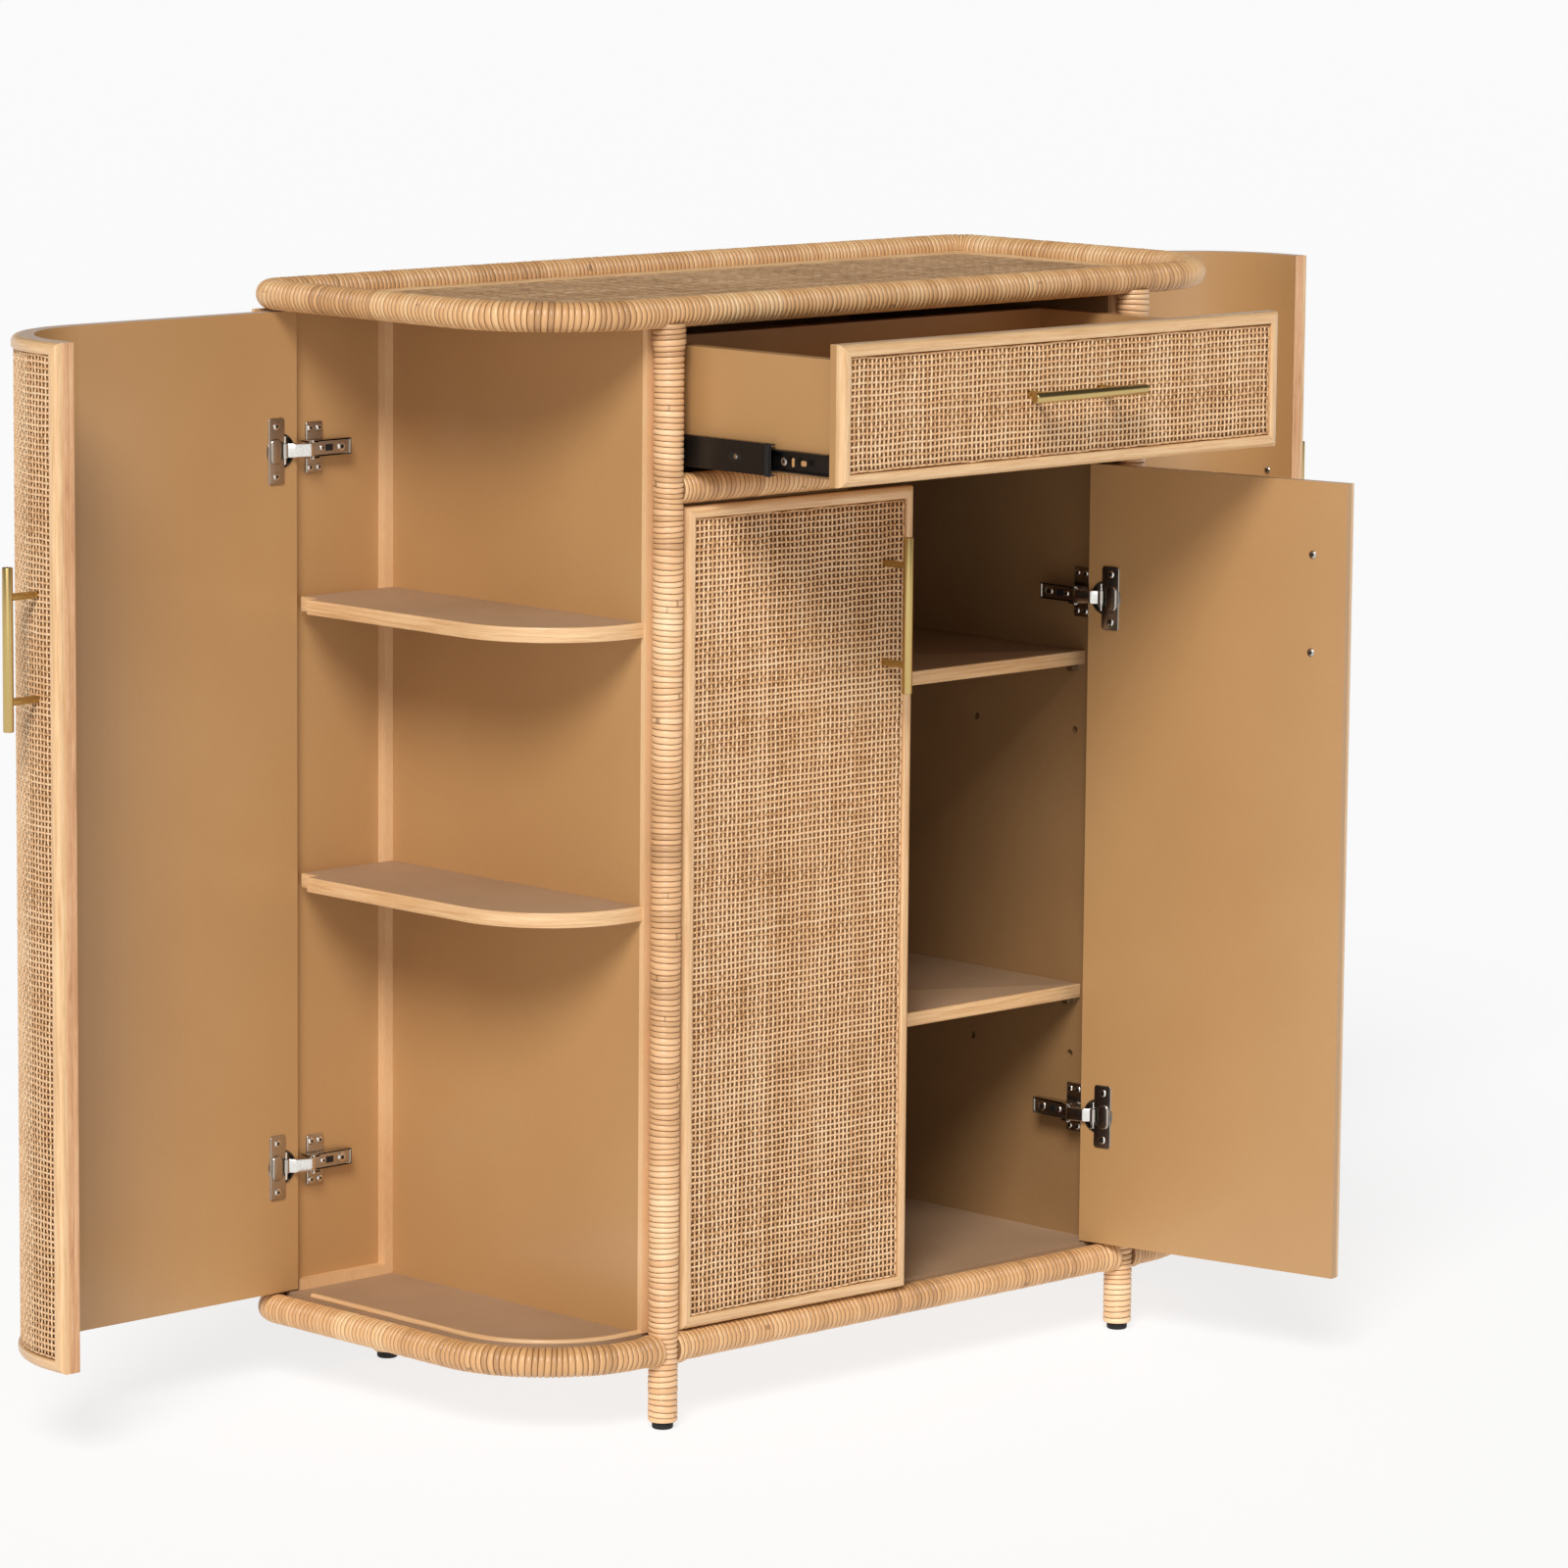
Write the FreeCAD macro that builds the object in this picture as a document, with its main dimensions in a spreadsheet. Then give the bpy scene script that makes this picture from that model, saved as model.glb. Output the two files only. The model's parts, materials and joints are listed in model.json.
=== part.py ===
import FreeCAD, Part
import os
import re

# Shoe cabinet of wrapped rattan poles and plywood boards, in millimetres.
# X runs along the front, +Y goes to the back, +Z is up and the feet stand on Z = 0.
# The doors and the drawer are drawn shut, on the left where they come in pairs, then mirrored
# and swung or pulled to the pose in which the cabinet stands: that pose is joint value 0.
# Y in this file is counted from the axis of the front posts, which stands at front_y.

DIMENSIONS = {
    # pole frame
    "front_y": (-71.35, "Y of the front posts' axis, so that the open cabinet is centred on the origin"),
    "pole_r": (14.5, "radius of the wrapped poles"),
    "post_x": (315, "half the distance between the posts"),
    "rim_x": (475.5, "centre line of the end poles"),
    "rim_y": (398, "centre line of the back rails and the rear posts"),
    "bend_r": (125, "bend of the rims at the front corners"),
    "back_bend_r": (24, "bend of the rims at the back corners"),
    "floor_rim_z": (76.5, "height of the lower rim"),
    "middle_rail_z": (896.2, "height of the rail under the drawer"),
    "top_rim_z": (1061.5, "height of the upper rim"),
    "foot_r": (10.25, "radius of the rubber foot caps"),
    "foot_tall": (7, "height of the foot caps"),
    # boards
    "plate_in": (16.5, "edge of the bottom and top boards to the rims' centre line"),
    "floor_t": (12, "thickness of the bottom board"),
    "top_t": (8.5, "thickness of the top board"),
    "weave_t": (2.5, "thickness of the woven panel on the top"),
    "bead_w": (7, "width of the bead round the woven panel"),
    "bead_t": (4.5, "height of the bead round the woven panel"),
    "lip_deep": (6, "depth of the strips on the dividers' front edges"),
    "back_y": (383.5, "inner face of the back panels"),
    "back_t": (9, "thickness of the back panels"),
    "end_back_x": (447, "outer edge of the end back panels"),
    "batten": (10, "side of the corner strips and floor battens"),
    "closer_y": (398.8, "front face of the strip that closes the back corner"),
    "closer_t": (4, "thickness of that strip"),
    "closer_x": (482, "outer edge of that strip"),
    "deck_z": (884, "underside of the deck under the drawer"),
    "deck_t": (12, "thickness of the deck"),
    # shelves
    "main_shelf_t": (14, "thickness of the wide shelves"),
    "main_shelf_y": (43, "front edge of the wide shelves"),
    "main_shelf_gap": (0.5, "gap between a wide shelf and the dividers"),
    "main_upper_z": (688.2, "top of the upper wide shelf"),
    "main_lower_z": (349.5, "top of the lower wide shelf"),
    "end_shelf_t": (14.5, "thickness of the end shelves"),
    "end_shelf_in": (16.5, "end shelves' edge to the rims' centre line"),
    "end_upper_z": (771, "top of the upper end shelf"),
    "end_lower_z": (502.3, "top of the lower end shelf"),
    "notch_x": (446, "outer edge of the end shelves beside the hinges"),
    "notch_y": (350, "start of the notch beside the hinges"),
    "pin_r": (4, "radius of the shelf pins and their holes"),
    "pin_deep": (8, "depth of the pin holes"),
    "pin_out": (9, "length of a pin outside its hole"),
    "pin_first_y": (57.5, "first row of pin holes"),
    "pin_pitch": (137.5, "distance between the pin holes"),
    "spare_upper_z": (606, "spare pin holes under the upper shelf"),
    "spare_lower_z": (276, "spare pin holes under the lower shelf"),
    # doors
    "door_z": (92.5, "bottom of all the doors"),
    "front_door_tall": (786.5, "height of a front door"),
    "end_door_tall": (953, "height of a curved end door"),
    "front_door_w": (295.3, "width of a front door"),
    "front_hinge_x": (297, "hinge edge of a front door"),
    "door_face_y": (-7.5, "front face of the doors and the drawer"),
    "front_door_t": (16.5, "thickness of the front doors and the drawer front"),
    "end_door_t": (21, "thickness of a curved end door"),
    "end_hinge_y": (390.3, "hinge edge of an end door"),
    "end_free_x": (332, "free edge of an end door"),
    "frame_t": (8.5, "thickness of the wooden frame round the cane"),
    "frame_w": (11.5, "width of that frame"),
    "frame_round": (6, "rounding of that frame's outer edge"),
    "cane_back": (4.5, "depth of the recess that the cane lies in"),
    "cane_t": (2.6, "thickness of the cane webbing"),
    # hinges: a pin in the cup and one solid arm
    "pin_in": (13.8, "hinge pin to the door's hinge edge"),
    "pin_sunk": (2, "hinge pin below the door's inner face"),
    "hinge_pin_r": (2, "radius of the hinge pin"),
    "eye_gap": (0.3, "clearance of the eye on the pin"),
    "eye_r": (4, "radius of the eye on the hinge arm"),
    "front_low_z": (222.3, "height of the lower front hinges"),
    "front_high_z": (746.3, "height of the upper front hinges"),
    "end_low_z": (216.2, "height of the lower end hinges"),
    "end_high_z": (912.3, "height of the upper end hinges"),
    "cup_in": (20.5, "centre of the hinge cup to the hinge edge"),
    "cup_r": (17.5, "radius of the hinge cup"),
    "cup_deep": (7.5, "depth of the hinge cup"),
    "cup_wall": (1, "wall of the hinge cup"),
    "flange_in": (17.5, "cup's flange to the hinge edge"),
    "flange_w": (18.5, "width of the cup's flange"),
    "flange_tall": (64, "height of the cup's flange"),
    "flange_t": (1.2, "thickness of the cup's flange"),
    "neck_t": (3, "thickness of the arm's neck"),
    "neck_off": (10.8, "how far the neck passes beside the pin"),
    "neck_near": (9.5, "start of the neck's straight, inwards from the pin"),
    "neck_far": (19.5, "end of the neck's straight"),
    "neck_end": (24, "end of the neck, inside the arm"),
    "arm_from": (22, "front end of the arm, inwards from the pin"),
    "arm_to": (77, "back end of the arm"),
    "arm_tall": (14, "height of the arm"),
    "arm_near": (4, "arm's face, on the room side of the pin"),
    "arm_over": (3.5, "arm's other face, towards the wall"),
    "wing_from": (36, "front edge of the mounting plate's wings"),
    "wing_w": (20, "width of the wings"),
    "wing_tall": (50, "height of the wings"),
    "wing_t": (2.5, "thickness of the wings"),
    # drawer
    "drawer_z": (913.5, "bottom of the drawer front"),
    "drawer_tall": (131, "height of the drawer front"),
    "box_z": (919, "bottom of the drawer box"),
    "box_tall": (110, "height of the drawer box"),
    "box_x": (287.8, "outer face of the drawer sides"),
    "box_t": (15, "thickness of the drawer sides and back"),
    "box_deep": (296, "length of the drawer sides"),
    "box_floor_up": (6, "drawer bottom above the lower edge of the sides"),
    "box_floor_t": (5, "thickness of the drawer bottom"),
    "slide_z": (932, "height of the slides"),
    "slide_y": (15, "front end of the fixed slide members"),
    "slide_long": (300, "length of a slide"),
    "slide_wall": (1.3, "sheet thickness of the slides"),
    "outer_half": (17.5, "half the height of the outer slide members"),
    "outer_deep": (9, "depth of the outer slide members"),
    "middle_half": (14.8, "half the height of the middle slide members"),
    "middle_deep": (6.2, "depth of the middle slide members"),
    "middle_gap": (3.4, "middle slide members to the wall"),
    "inner_half": (10, "half the height of the drawer's slide members"),
    "inner_deep": (6.5, "depth of the drawer's slide members"),
    # handles
    "bar_r": (5, "radius of a handle bar"),
    "bar_long": (151, "length of a handle bar"),
    "leg_pitch": (96, "distance between a handle's legs"),
    "leg_r": (3.5, "radius of a handle's legs"),
    "leg_sunk": (1.5, "depth of the legs in the board"),
    "stand_off": (30, "bar's axis to the face of the frame"),
    "screw_r": (2, "radius of the handle screws"),
    "screw_hole_r": (2.25, "radius of the holes for them"),
    "head_r": (4, "radius of the screw heads"),
    "head_t": (2, "height of the screw heads"),
    "front_handle_in": (37.6, "handle of a front door to its free edge"),
    "end_handle_in": (34, "handle of an end door to its free edge"),
    "front_handle_z": (759.3, "middle of the front doors' handles"),
    "end_handle_z": (766, "middle of the end doors' handles"),
    "drawer_handle_z": (985, "height of the drawer handle"),
    # the pose in which the cabinet stands
    "left_front_open": (1.4, "left front door, degrees"),
    "right_front_open": (100.8, "right front door, degrees"),
    "end_open": (89.6, "both end doors, degrees"),
    "drawer_out": (204, "drawer"),
    "slide_share": (0.65, "travel of the middle slide members for each unit of the drawer's"),
}
DIM = {alias: cell[0] for alias, cell in DIMENSIONS.items()}

Z_AXIS = FreeCAD.Vector(0, 0, 1)
ABOUT_X = FreeCAD.Rotation(FreeCAD.Vector(1, 0, 0), -90)
ABOUT_Y = FreeCAD.Rotation(FreeCAD.Vector(0, 1, 0), 90)
UPRIGHT = FreeCAD.Rotation()
TURNS = {"x": ABOUT_Y, "y": ABOUT_X, "z": UPRIGHT}
SIDES = {"left": -1, "right": 1}
SMALL = 1e-3

doc = FreeCAD.newDocument("shoe_cabinet")
sheet = doc.addObject("Spreadsheet::Sheet", "dims")
for row, (alias, (value, note)) in enumerate(DIMENSIONS.items(), start=1):
    sheet.set(f"A{row}", note)
    sheet.set(f"B{row}", str(value))
    sheet.setAlias(f"B{row}", alias)
doc.recompute()

nodes = []


# ---------------------------------------------------------------- helpers

def cells(expression):
    """Point every alias of an expression at the sheet."""
    swap = lambda word: "dims." + word.group() if word.group() in DIMENSIONS else word.group()
    return re.sub(r"[A-Za-z_]\w*", swap, str(expression))


def bind(item, **sizes):
    for size, expression in sizes.items():
        item.setExpression(size, cells(expression))


def place(item, x, y, z, turn=UPRIGHT):
    """Put a piece at (x, y from the front posts, z), each an expression of the sheet."""
    item.Placement = FreeCAD.Placement(FreeCAD.Vector(), turn)
    item.setExpression("Placement.Base.x", cells(x))
    item.setExpression("Placement.Base.y", cells(f"front_y + ({y})"))
    item.setExpression("Placement.Base.z", cells(z))


def keep(label, item):
    """Name a finished sub-part, which is written to its own file."""
    item.Label = label
    nodes.append(item)
    return item


def box(name, x, y, z, long, deep, tall):
    item = doc.addObject("Part::Box", name)
    bind(item, Length=long, Width=deep, Height=tall)
    place(item, x, y, z)
    return item


def rod(name, x, y, z, radius, length, along="z", angle=360, turn=None):
    """A cylinder from (x, y, z) along an axis, or a sector of one."""
    item = doc.addObject("Part::Cylinder", name)
    bind(item, Radius=radius, Height=length)
    item.Angle = angle
    place(item, x, y, z, turn or TURNS[along])
    return item


def fuse(name, *items):
    item = doc.addObject("Part::MultiFuse", name)
    item.Shapes = list(items)
    item.Refine = True
    return item


def group(name, *items):
    """Separate solids that share one node."""
    item = doc.addObject("Part::Compound", name)
    item.Links = list(items)
    return item


def cut(name, base, *tools):
    item = doc.addObject("Part::Cut", name)
    item.Base = base
    item.Tool = tools[0] if len(tools) == 1 else group(name + "_tools", *tools)
    return item


def mirror(name, source):
    item = doc.addObject("Part::Mirroring", name)
    item.Source = source
    item.Normal = FreeCAD.Vector(1, 0, 0)
    return item


def pair(suffix, left):
    """Keep a left piece and its mirror image as two nodes."""
    keep("left_" + suffix, left)
    keep("right_" + suffix, mirror("right_" + suffix, left))


def both(label, *left):
    """Keep left pieces and their mirror images as one node of separate solids."""
    images = [mirror(f"{label}_image_{number}", item) for number, item in enumerate(left)]
    keep(label, group(label, *left, *images))


def rounded_edges(name, base, chosen, radius):
    """Round the edges of base for which chosen(edge) is true."""
    doc.recompute()
    item = doc.addObject("Part::Fillet", name)
    item.Base = base
    item.Edges = [(number, radius, radius) for number, edge in enumerate(base.Shape.Edges, start=1)
                  if chosen(edge)]
    return item


# ---------------------------------------------------------------- pole frame

def bend(name, side, x, y, radius, z, start):
    """A quarter of a torus: the bent part of a pole, centred at (side * x, y)."""
    item = doc.addObject("Part::Torus", name)
    bind(item, Radius1=radius, Radius2="pole_r")
    item.Angle3 = 90
    place(item, f"{side} * ({x})", y, z, FreeCAD.Rotation(Z_AXIS, start))
    return item


def end_of_rim(name, side, z):
    """Front corner, straight end and back corner of a rim on one side."""
    front_turn, back_turn = (180, 90) if side < 0 else (270, 0)
    return [
        bend(name + "_front_bend", side, "rim_x - bend_r", "bend_r", "bend_r", z, front_turn),
        rod(name + "_end", f"{side} * rim_x", "bend_r", z, "pole_r", "rim_y - back_bend_r - bend_r", "y"),
        bend(name + "_back_bend", side, "rim_x - back_bend_r", "rim_y - back_bend_r", "back_bend_r", z,
             back_turn),
    ]


def cross_rail(name, half, y, z):
    """A straight pole along the cabinet, from -half to half."""
    return rod(name, f"-({half})", y, z, "pole_r", f"2 * ({half})", "x")


def make_frame():
    straight, back = "rim_x - bend_r", "rim_x - back_bend_r"
    top_rim = fuse("top_rim", *end_of_rim("top_left", -1, "top_rim_z"), *end_of_rim("top_right", 1, "top_rim_z"),
                   cross_rail("top_front", straight, 0, "top_rim_z"))
    keep("top_rim", top_rim)
    top_back = keep("top_back_rail", cross_rail("top_back_rail", back, "rim_y", "top_rim_z"))
    posts = {}
    for where, side in SIDES.items():
        for depth, y, rim in (("front", 0, top_rim), ("rear", "rim_y", top_back)):
            name = f"{where}_{depth}_post"
            pole = rod(name + "_pole", f"{side} * post_x", y, "foot_tall", "pole_r", "top_rim_z - foot_tall")
            posts[where, depth] = keep(name, cut(name, pole, rim))
    for where, side in SIDES.items():
        name = f"{where}_floor_rim"
        start = f"-({straight})" if side < 0 else "post_x"
        stub = rod(name + "_stub", start, 0, "floor_rim_z", "pole_r", f"{straight} - post_x", "x")
        rim = fuse(name + "_whole", *end_of_rim(name, side, "floor_rim_z"), stub)
        keep(name, cut(name, rim, posts[where, "front"]))
    front_posts = [posts[where, "front"] for where in SIDES]
    rear_posts = [posts[where, "rear"] for where in SIDES]
    for name, z in (("floor_front_rail", "floor_rim_z"), ("middle_rail", "middle_rail_z")):
        keep(name, cut(name, cross_rail(name + "_pole", "post_x", 0, z), *front_posts))
    keep("floor_back_rail", cut("floor_back_rail", cross_rail("floor_back_pole", back, "rim_y", "floor_rim_z"),
                                *rear_posts))
    both("foot_caps", *[rod(f"foot_{depth}", "-post_x", y, 0, "foot_r", "foot_tall")
                        for depth, y in (("front", 0), ("rear", "rim_y"))])


# ---------------------------------------------------------------- boards and shelves

FLOOR = "(floor_rim_z + pole_r)"
ROOF = "(top_rim_z - pole_r)"
TALL = f"({ROOF} - {FLOOR})"
OUTER = "(post_x + pole_r)"
INNER = "(post_x - pole_r)"


def rounded_plate(name, inset, z, thick):
    """A board with the rims' outline, moved in by inset."""
    bend_x = "(rim_x - bend_r)"
    wide = f"(rim_x - ({inset}))"
    corners = [rod(f"{name}_corner_{side}", f"{side} * {bend_x}", "bend_r", z, f"bend_r - ({inset})", thick,
                   angle=90, turn=FreeCAD.Rotation(Z_AXIS, turn)) for side, turn in ((-1, 180), (1, 270))]
    return fuse(name,
                box(name + "_back", f"-{wide}", "bend_r", z, f"2 * {wide}", f"rim_y - ({inset}) - bend_r", thick),
                box(name + "_front", f"-{bend_x}", inset, z, f"2 * {bend_x}", f"bend_r - ({inset})", thick),
                *corners)


def make_top_and_bottom():
    keep("bottom_board", rounded_plate("bottom_board", "plate_in", f"{FLOOR} - floor_t", "floor_t"))
    keep("top_board", rounded_plate("top_board", "plate_in", ROOF, "top_t"))
    weave_z, weave_in = f"{ROOF} + top_t", "plate_in + bead_w"
    keep("top_weave", rounded_plate("top_weave", weave_in, weave_z, "weave_t"))
    bead = rounded_plate("bead_outline", "plate_in", weave_z, "bead_t")
    keep("top_bead", cut("top_bead", bead, rounded_plate("bead_opening", weave_in, weave_z, "bead_t")))


def pin_y(column):
    return f"pin_first_y + {column} * pin_pitch"


def make_walls():
    side_y = "pole_r + lip_deep"
    deep = f"back_y - ({side_y})"
    pair("divider", box("divider", f"-{OUTER}", side_y, FLOOR, "pole_r", deep, TALL))
    rows = ["main_upper_z - main_shelf_t - pin_r", "spare_upper_z", "main_lower_z - main_shelf_t - pin_r",
            "spare_lower_z"]
    holes = [rod(f"pin_hole_{column}_{row}", f"-{INNER} - pin_deep", pin_y(column), z, "pin_r", "pin_deep", "x")
             for column in range(3) for row, z in enumerate(rows)]
    both("inner_sides", cut("inner_side", box("inner_side_board", "-post_x", side_y, FLOOR, "pole_r", deep, TALL),
                            *holes))
    pins = [rod(f"pin_{column}_{row}", f"-{INNER} - pin_deep", pin_y(column), rows[row], "pin_r",
                "pin_deep + pin_out", "x") for column in (0, 2) for row in (0, 2)]
    both("shelf_pins", *pins)

    keep("middle_back_panel", box("middle_back_panel", f"-{INNER}", "back_y", FLOOR, f"2 * {INNER}", "back_t", TALL))
    pair("end_back_panel", box("end_back_panel", "-end_back_x", "back_y", FLOOR, f"end_back_x - {OUTER}", "back_t",
                               TALL))
    lip = box("lip", f"-{OUTER}", "pole_r", FLOOR, "2 * pole_r", "lip_deep", TALL)
    strip = box("corner_strip", f"-{OUTER} - batten", "back_y - batten", f"{FLOOR} + batten", "batten", "batten",
                f"{TALL} - batten")
    batten = box("floor_batten", "-notch_x", "back_y - batten", FLOOR, f"notch_x - {OUTER}", "batten", "batten")
    closer = fuse("closer", box("closer_face", "-closer_x", "closer_y", FLOOR, "closer_x - end_back_x + batten",
                                "closer_t", TALL),
                  box("closer_spacer", "-end_back_x", "back_y + back_t", FLOOR, "batten",
                      "closer_y - back_y - back_t", TALL))
    both("edge_strips", lip, strip, batten, closer)


def make_shelves():
    keep("drawer_deck", box("drawer_deck", f"-{INNER}", "pole_r", "deck_z", f"2 * {INNER}", "back_y - pole_r",
                            "deck_t"))
    half = f"({INNER} - main_shelf_gap)"
    for name, z in (("upper_shelf", "main_upper_z"), ("lower_shelf", "main_lower_z")):
        keep(name, box(name, f"-{half}", "main_shelf_y", f"{z} - main_shelf_t", f"2 * {half}",
                       "back_y - main_shelf_y", "main_shelf_t"))
    pair("end_shelves", group("end_shelves", *[end_shelf(f"end_shelf_{row}", z)
                                               for row, z in enumerate(("end_upper_z", "end_lower_z"))]))


def end_shelf(name, top):
    """The part of a rounded plate on the left of the dividers, less a strip and notch at the back."""
    z, edge_x = f"{top} - end_shelf_t", "(rim_x - end_shelf_in)"
    piece = doc.addObject("Part::MultiCommon", name + "_whole")
    piece.Shapes = [rounded_plate(name + "_plate", "end_shelf_in", z, "end_shelf_t"),
                    box(name + "_bay", f"-{edge_x}", "end_shelf_in", z, f"{edge_x} - {OUTER}",
                        "back_y - batten - end_shelf_in", "end_shelf_t")]
    return cut(name, piece, box(name + "_notch", f"-{edge_x}", "notch_y", z, f"{edge_x} - notch_x", "back_y - notch_y",
                                "end_shelf_t"))


# ---------------------------------------------------------------- hinges

def pin_place(kind):
    """X and Y of a left hinge's pin and its distance to the wall that carries the arm."""
    if kind == "front":
        x = DIM["pin_in"] - DIM["front_hinge_x"]
        y = DIM["door_face_y"] + DIM["front_door_t"] - DIM["pin_sunk"]
        return x, y, x + DIM["post_x"] - DIM["pole_r"]
    x = DIM["door_face_y"] - DIM["rim_x"] + DIM["end_door_t"] - DIM["pin_sunk"]
    y = DIM["end_hinge_y"] - DIM["pin_in"]
    return x, y, DIM["back_y"] - y


def at_pin(kind, degrees):
    """A placement at a left hinge's pin, turned about it."""
    x, y = pin_place(kind)[:2]
    return FreeCAD.Placement(FreeCAD.Vector(x, DIM["front_y"] + y, 0), FreeCAD.Rotation(Z_AXIS, degrees))


def feature(name, shape, placement):
    item = doc.addObject("Part::Feature", name)
    item.Shape = shape
    item.Placement = placement
    return item


def bar_along(points, thick, z, tall):
    """Upright strip of metal along a path in XY, with round corners."""
    pieces = []
    for (x0, y0), (x1, y1) in zip(points, points[1:]):
        start = FreeCAD.Vector(x0, y0, z)
        run = FreeCAD.Vector(x1 - x0, y1 - y0, 0)
        slab = Part.makeBox(run.Length, thick, tall, FreeCAD.Vector(0, -thick / 2, 0))
        turn = FreeCAD.Rotation(FreeCAD.Vector(1, 0, 0), run)
        slab.Placement = FreeCAD.Placement(start, turn)
        pieces += [slab, Part.makeCylinder(thick / 2, tall, start + run)]
    return pieces[0].fuse(pieces[1:])


def hinge_arm(z, wall):
    """Eye round the pin, neck round the door's edge, arm and winged mounting plate.

    X runs into the cabinet from the pin and Y to the wall that carries the hinge."""
    tall, low = DIM["arm_tall"], z - DIM["arm_tall"] / 2
    off = -DIM["neck_off"]
    neck = bar_along([(0, 0), (DIM["neck_near"], off), (DIM["neck_far"], off), (DIM["neck_end"], 0)],
                     DIM["neck_t"], low, tall)
    bottom = FreeCAD.Vector(0, 0, low)
    eye = Part.makeCylinder(DIM["eye_r"], tall, bottom)
    bore = Part.makeCylinder(DIM["hinge_pin_r"] + DIM["eye_gap"], tall, bottom)
    arm = Part.makeBox(DIM["arm_to"] - DIM["arm_from"], DIM["arm_near"] + DIM["arm_over"], tall,
                       FreeCAD.Vector(DIM["arm_from"], -DIM["arm_near"], low))
    spine = Part.makeBox(DIM["arm_to"] - DIM["wing_from"], wall - DIM["arm_over"], tall,
                         FreeCAD.Vector(DIM["wing_from"], DIM["arm_over"], low))
    wings = Part.makeBox(DIM["wing_w"], DIM["wing_t"], DIM["wing_tall"],
                         FreeCAD.Vector(DIM["wing_from"], wall - DIM["wing_t"], z - DIM["wing_tall"] / 2))
    return neck.fuse([eye, arm, spine, wings]).cut(bore).removeSplitter()


def hinge_cup(z):
    """Cup sunk in the door, flange on its inner face and pin across it.

    X runs from the pin to the door's free edge and Y out of its inner face."""
    off, inner_r = DIM["cup_in"] - DIM["pin_in"], DIM["cup_r"] - DIM["cup_wall"]
    mouth, inward = FreeCAD.Vector(off, DIM["pin_sunk"], z), FreeCAD.Vector(0, -1, 0)
    cup = Part.makeCylinder(DIM["cup_r"], DIM["cup_deep"], mouth, inward)
    flange = Part.makeBox(DIM["flange_w"], DIM["flange_t"], DIM["flange_tall"],
                          FreeCAD.Vector(DIM["flange_in"] - DIM["pin_in"], DIM["pin_sunk"],
                                         z - DIM["flange_tall"] / 2))
    hollow = Part.makeCylinder(inner_r, DIM["cup_deep"] - DIM["cup_wall"] + DIM["flange_t"],
                               mouth + FreeCAD.Vector(0, DIM["flange_t"], 0), inward)
    half = (inner_r ** 2 - (off + DIM["hinge_pin_r"]) ** 2) ** 0.5 + DIM["cup_wall"] / 2
    pin = Part.makeCylinder(DIM["hinge_pin_r"], 2 * half, FreeCAD.Vector(0, 0, z - half))
    return cup.fuse(flange).cut(hollow).fuse(pin).removeSplitter()


def hinge_heights(kind):
    return [DIM[f"{kind}_low_z"], DIM[f"{kind}_high_z"]]


def make_hinge_arms(kind, degrees):
    wall = pin_place(kind)[2]
    arms = Part.makeCompound([hinge_arm(z, wall) for z in hinge_heights(kind)])
    both(f"{kind}_hinge_arms", feature(f"{kind}_hinge_arm", arms, at_pin(kind, degrees)))


def hinge_cups(kind, degrees):
    cups = Part.makeCompound([hinge_cup(z) for z in hinge_heights(kind)])
    return feature(f"{kind}_hinge_cups", cups, at_pin(kind, degrees))


# ---------------------------------------------------------------- handles and flat fronts

def leg_places(x, z, upright):
    """X and Z of a handle's two legs."""
    for way in (-1, 1):
        shift = f"{way} * leg_pitch / 2"
        yield (x, f"{z} + {shift}") if upright else (f"{x} + {shift}", z)


def drilled(name, x, y, z, upright, radius, deep):
    """Rods through the places of a handle's legs, from y backwards."""
    return [rod(f"{name}_{number}", leg_x, y, leg_z, radius, deep, "y")
            for number, (leg_x, leg_z) in enumerate(leg_places(x, z, upright))]


def handle(name, x, z, upright, grip):
    """Bar on two legs in front of a door, with screws whose heads lie behind a board grip thick."""
    face, behind = "door_face_y", f"door_face_y + {grip}"
    start = (x, f"{z} - bar_long / 2") if upright else (f"{x} - bar_long / 2", z)
    bar = rod(name + "_bar", start[0], f"{face} - stand_off", start[1], "bar_r", "bar_long",
              "z" if upright else "x")
    return fuse(name, bar,
                *drilled(name + "_leg", x, f"{face} - stand_off", z, upright, "leg_r",
                         "stand_off + cane_back + leg_sunk"),
                *drilled(name + "_screw", x, face, z, upright, "screw_r", grip),
                *drilled(name + "_head", x, behind, z, upright, "head_r", "head_t"))


def handle_holes(name, x, z, upright, grip):
    """Holes in a board for a handle's screws, legs and screw heads."""
    return [*drilled(name + "_screw_hole", x, "door_face_y", z, upright, "screw_hole_r", grip),
            *drilled(name + "_leg_hole", x, "door_face_y", z, upright, "leg_r", "cane_back + leg_sunk"),
            *drilled(name + "_head_hole", x, f"door_face_y + {grip}", z, upright, "head_r", "head_t")]


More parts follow.
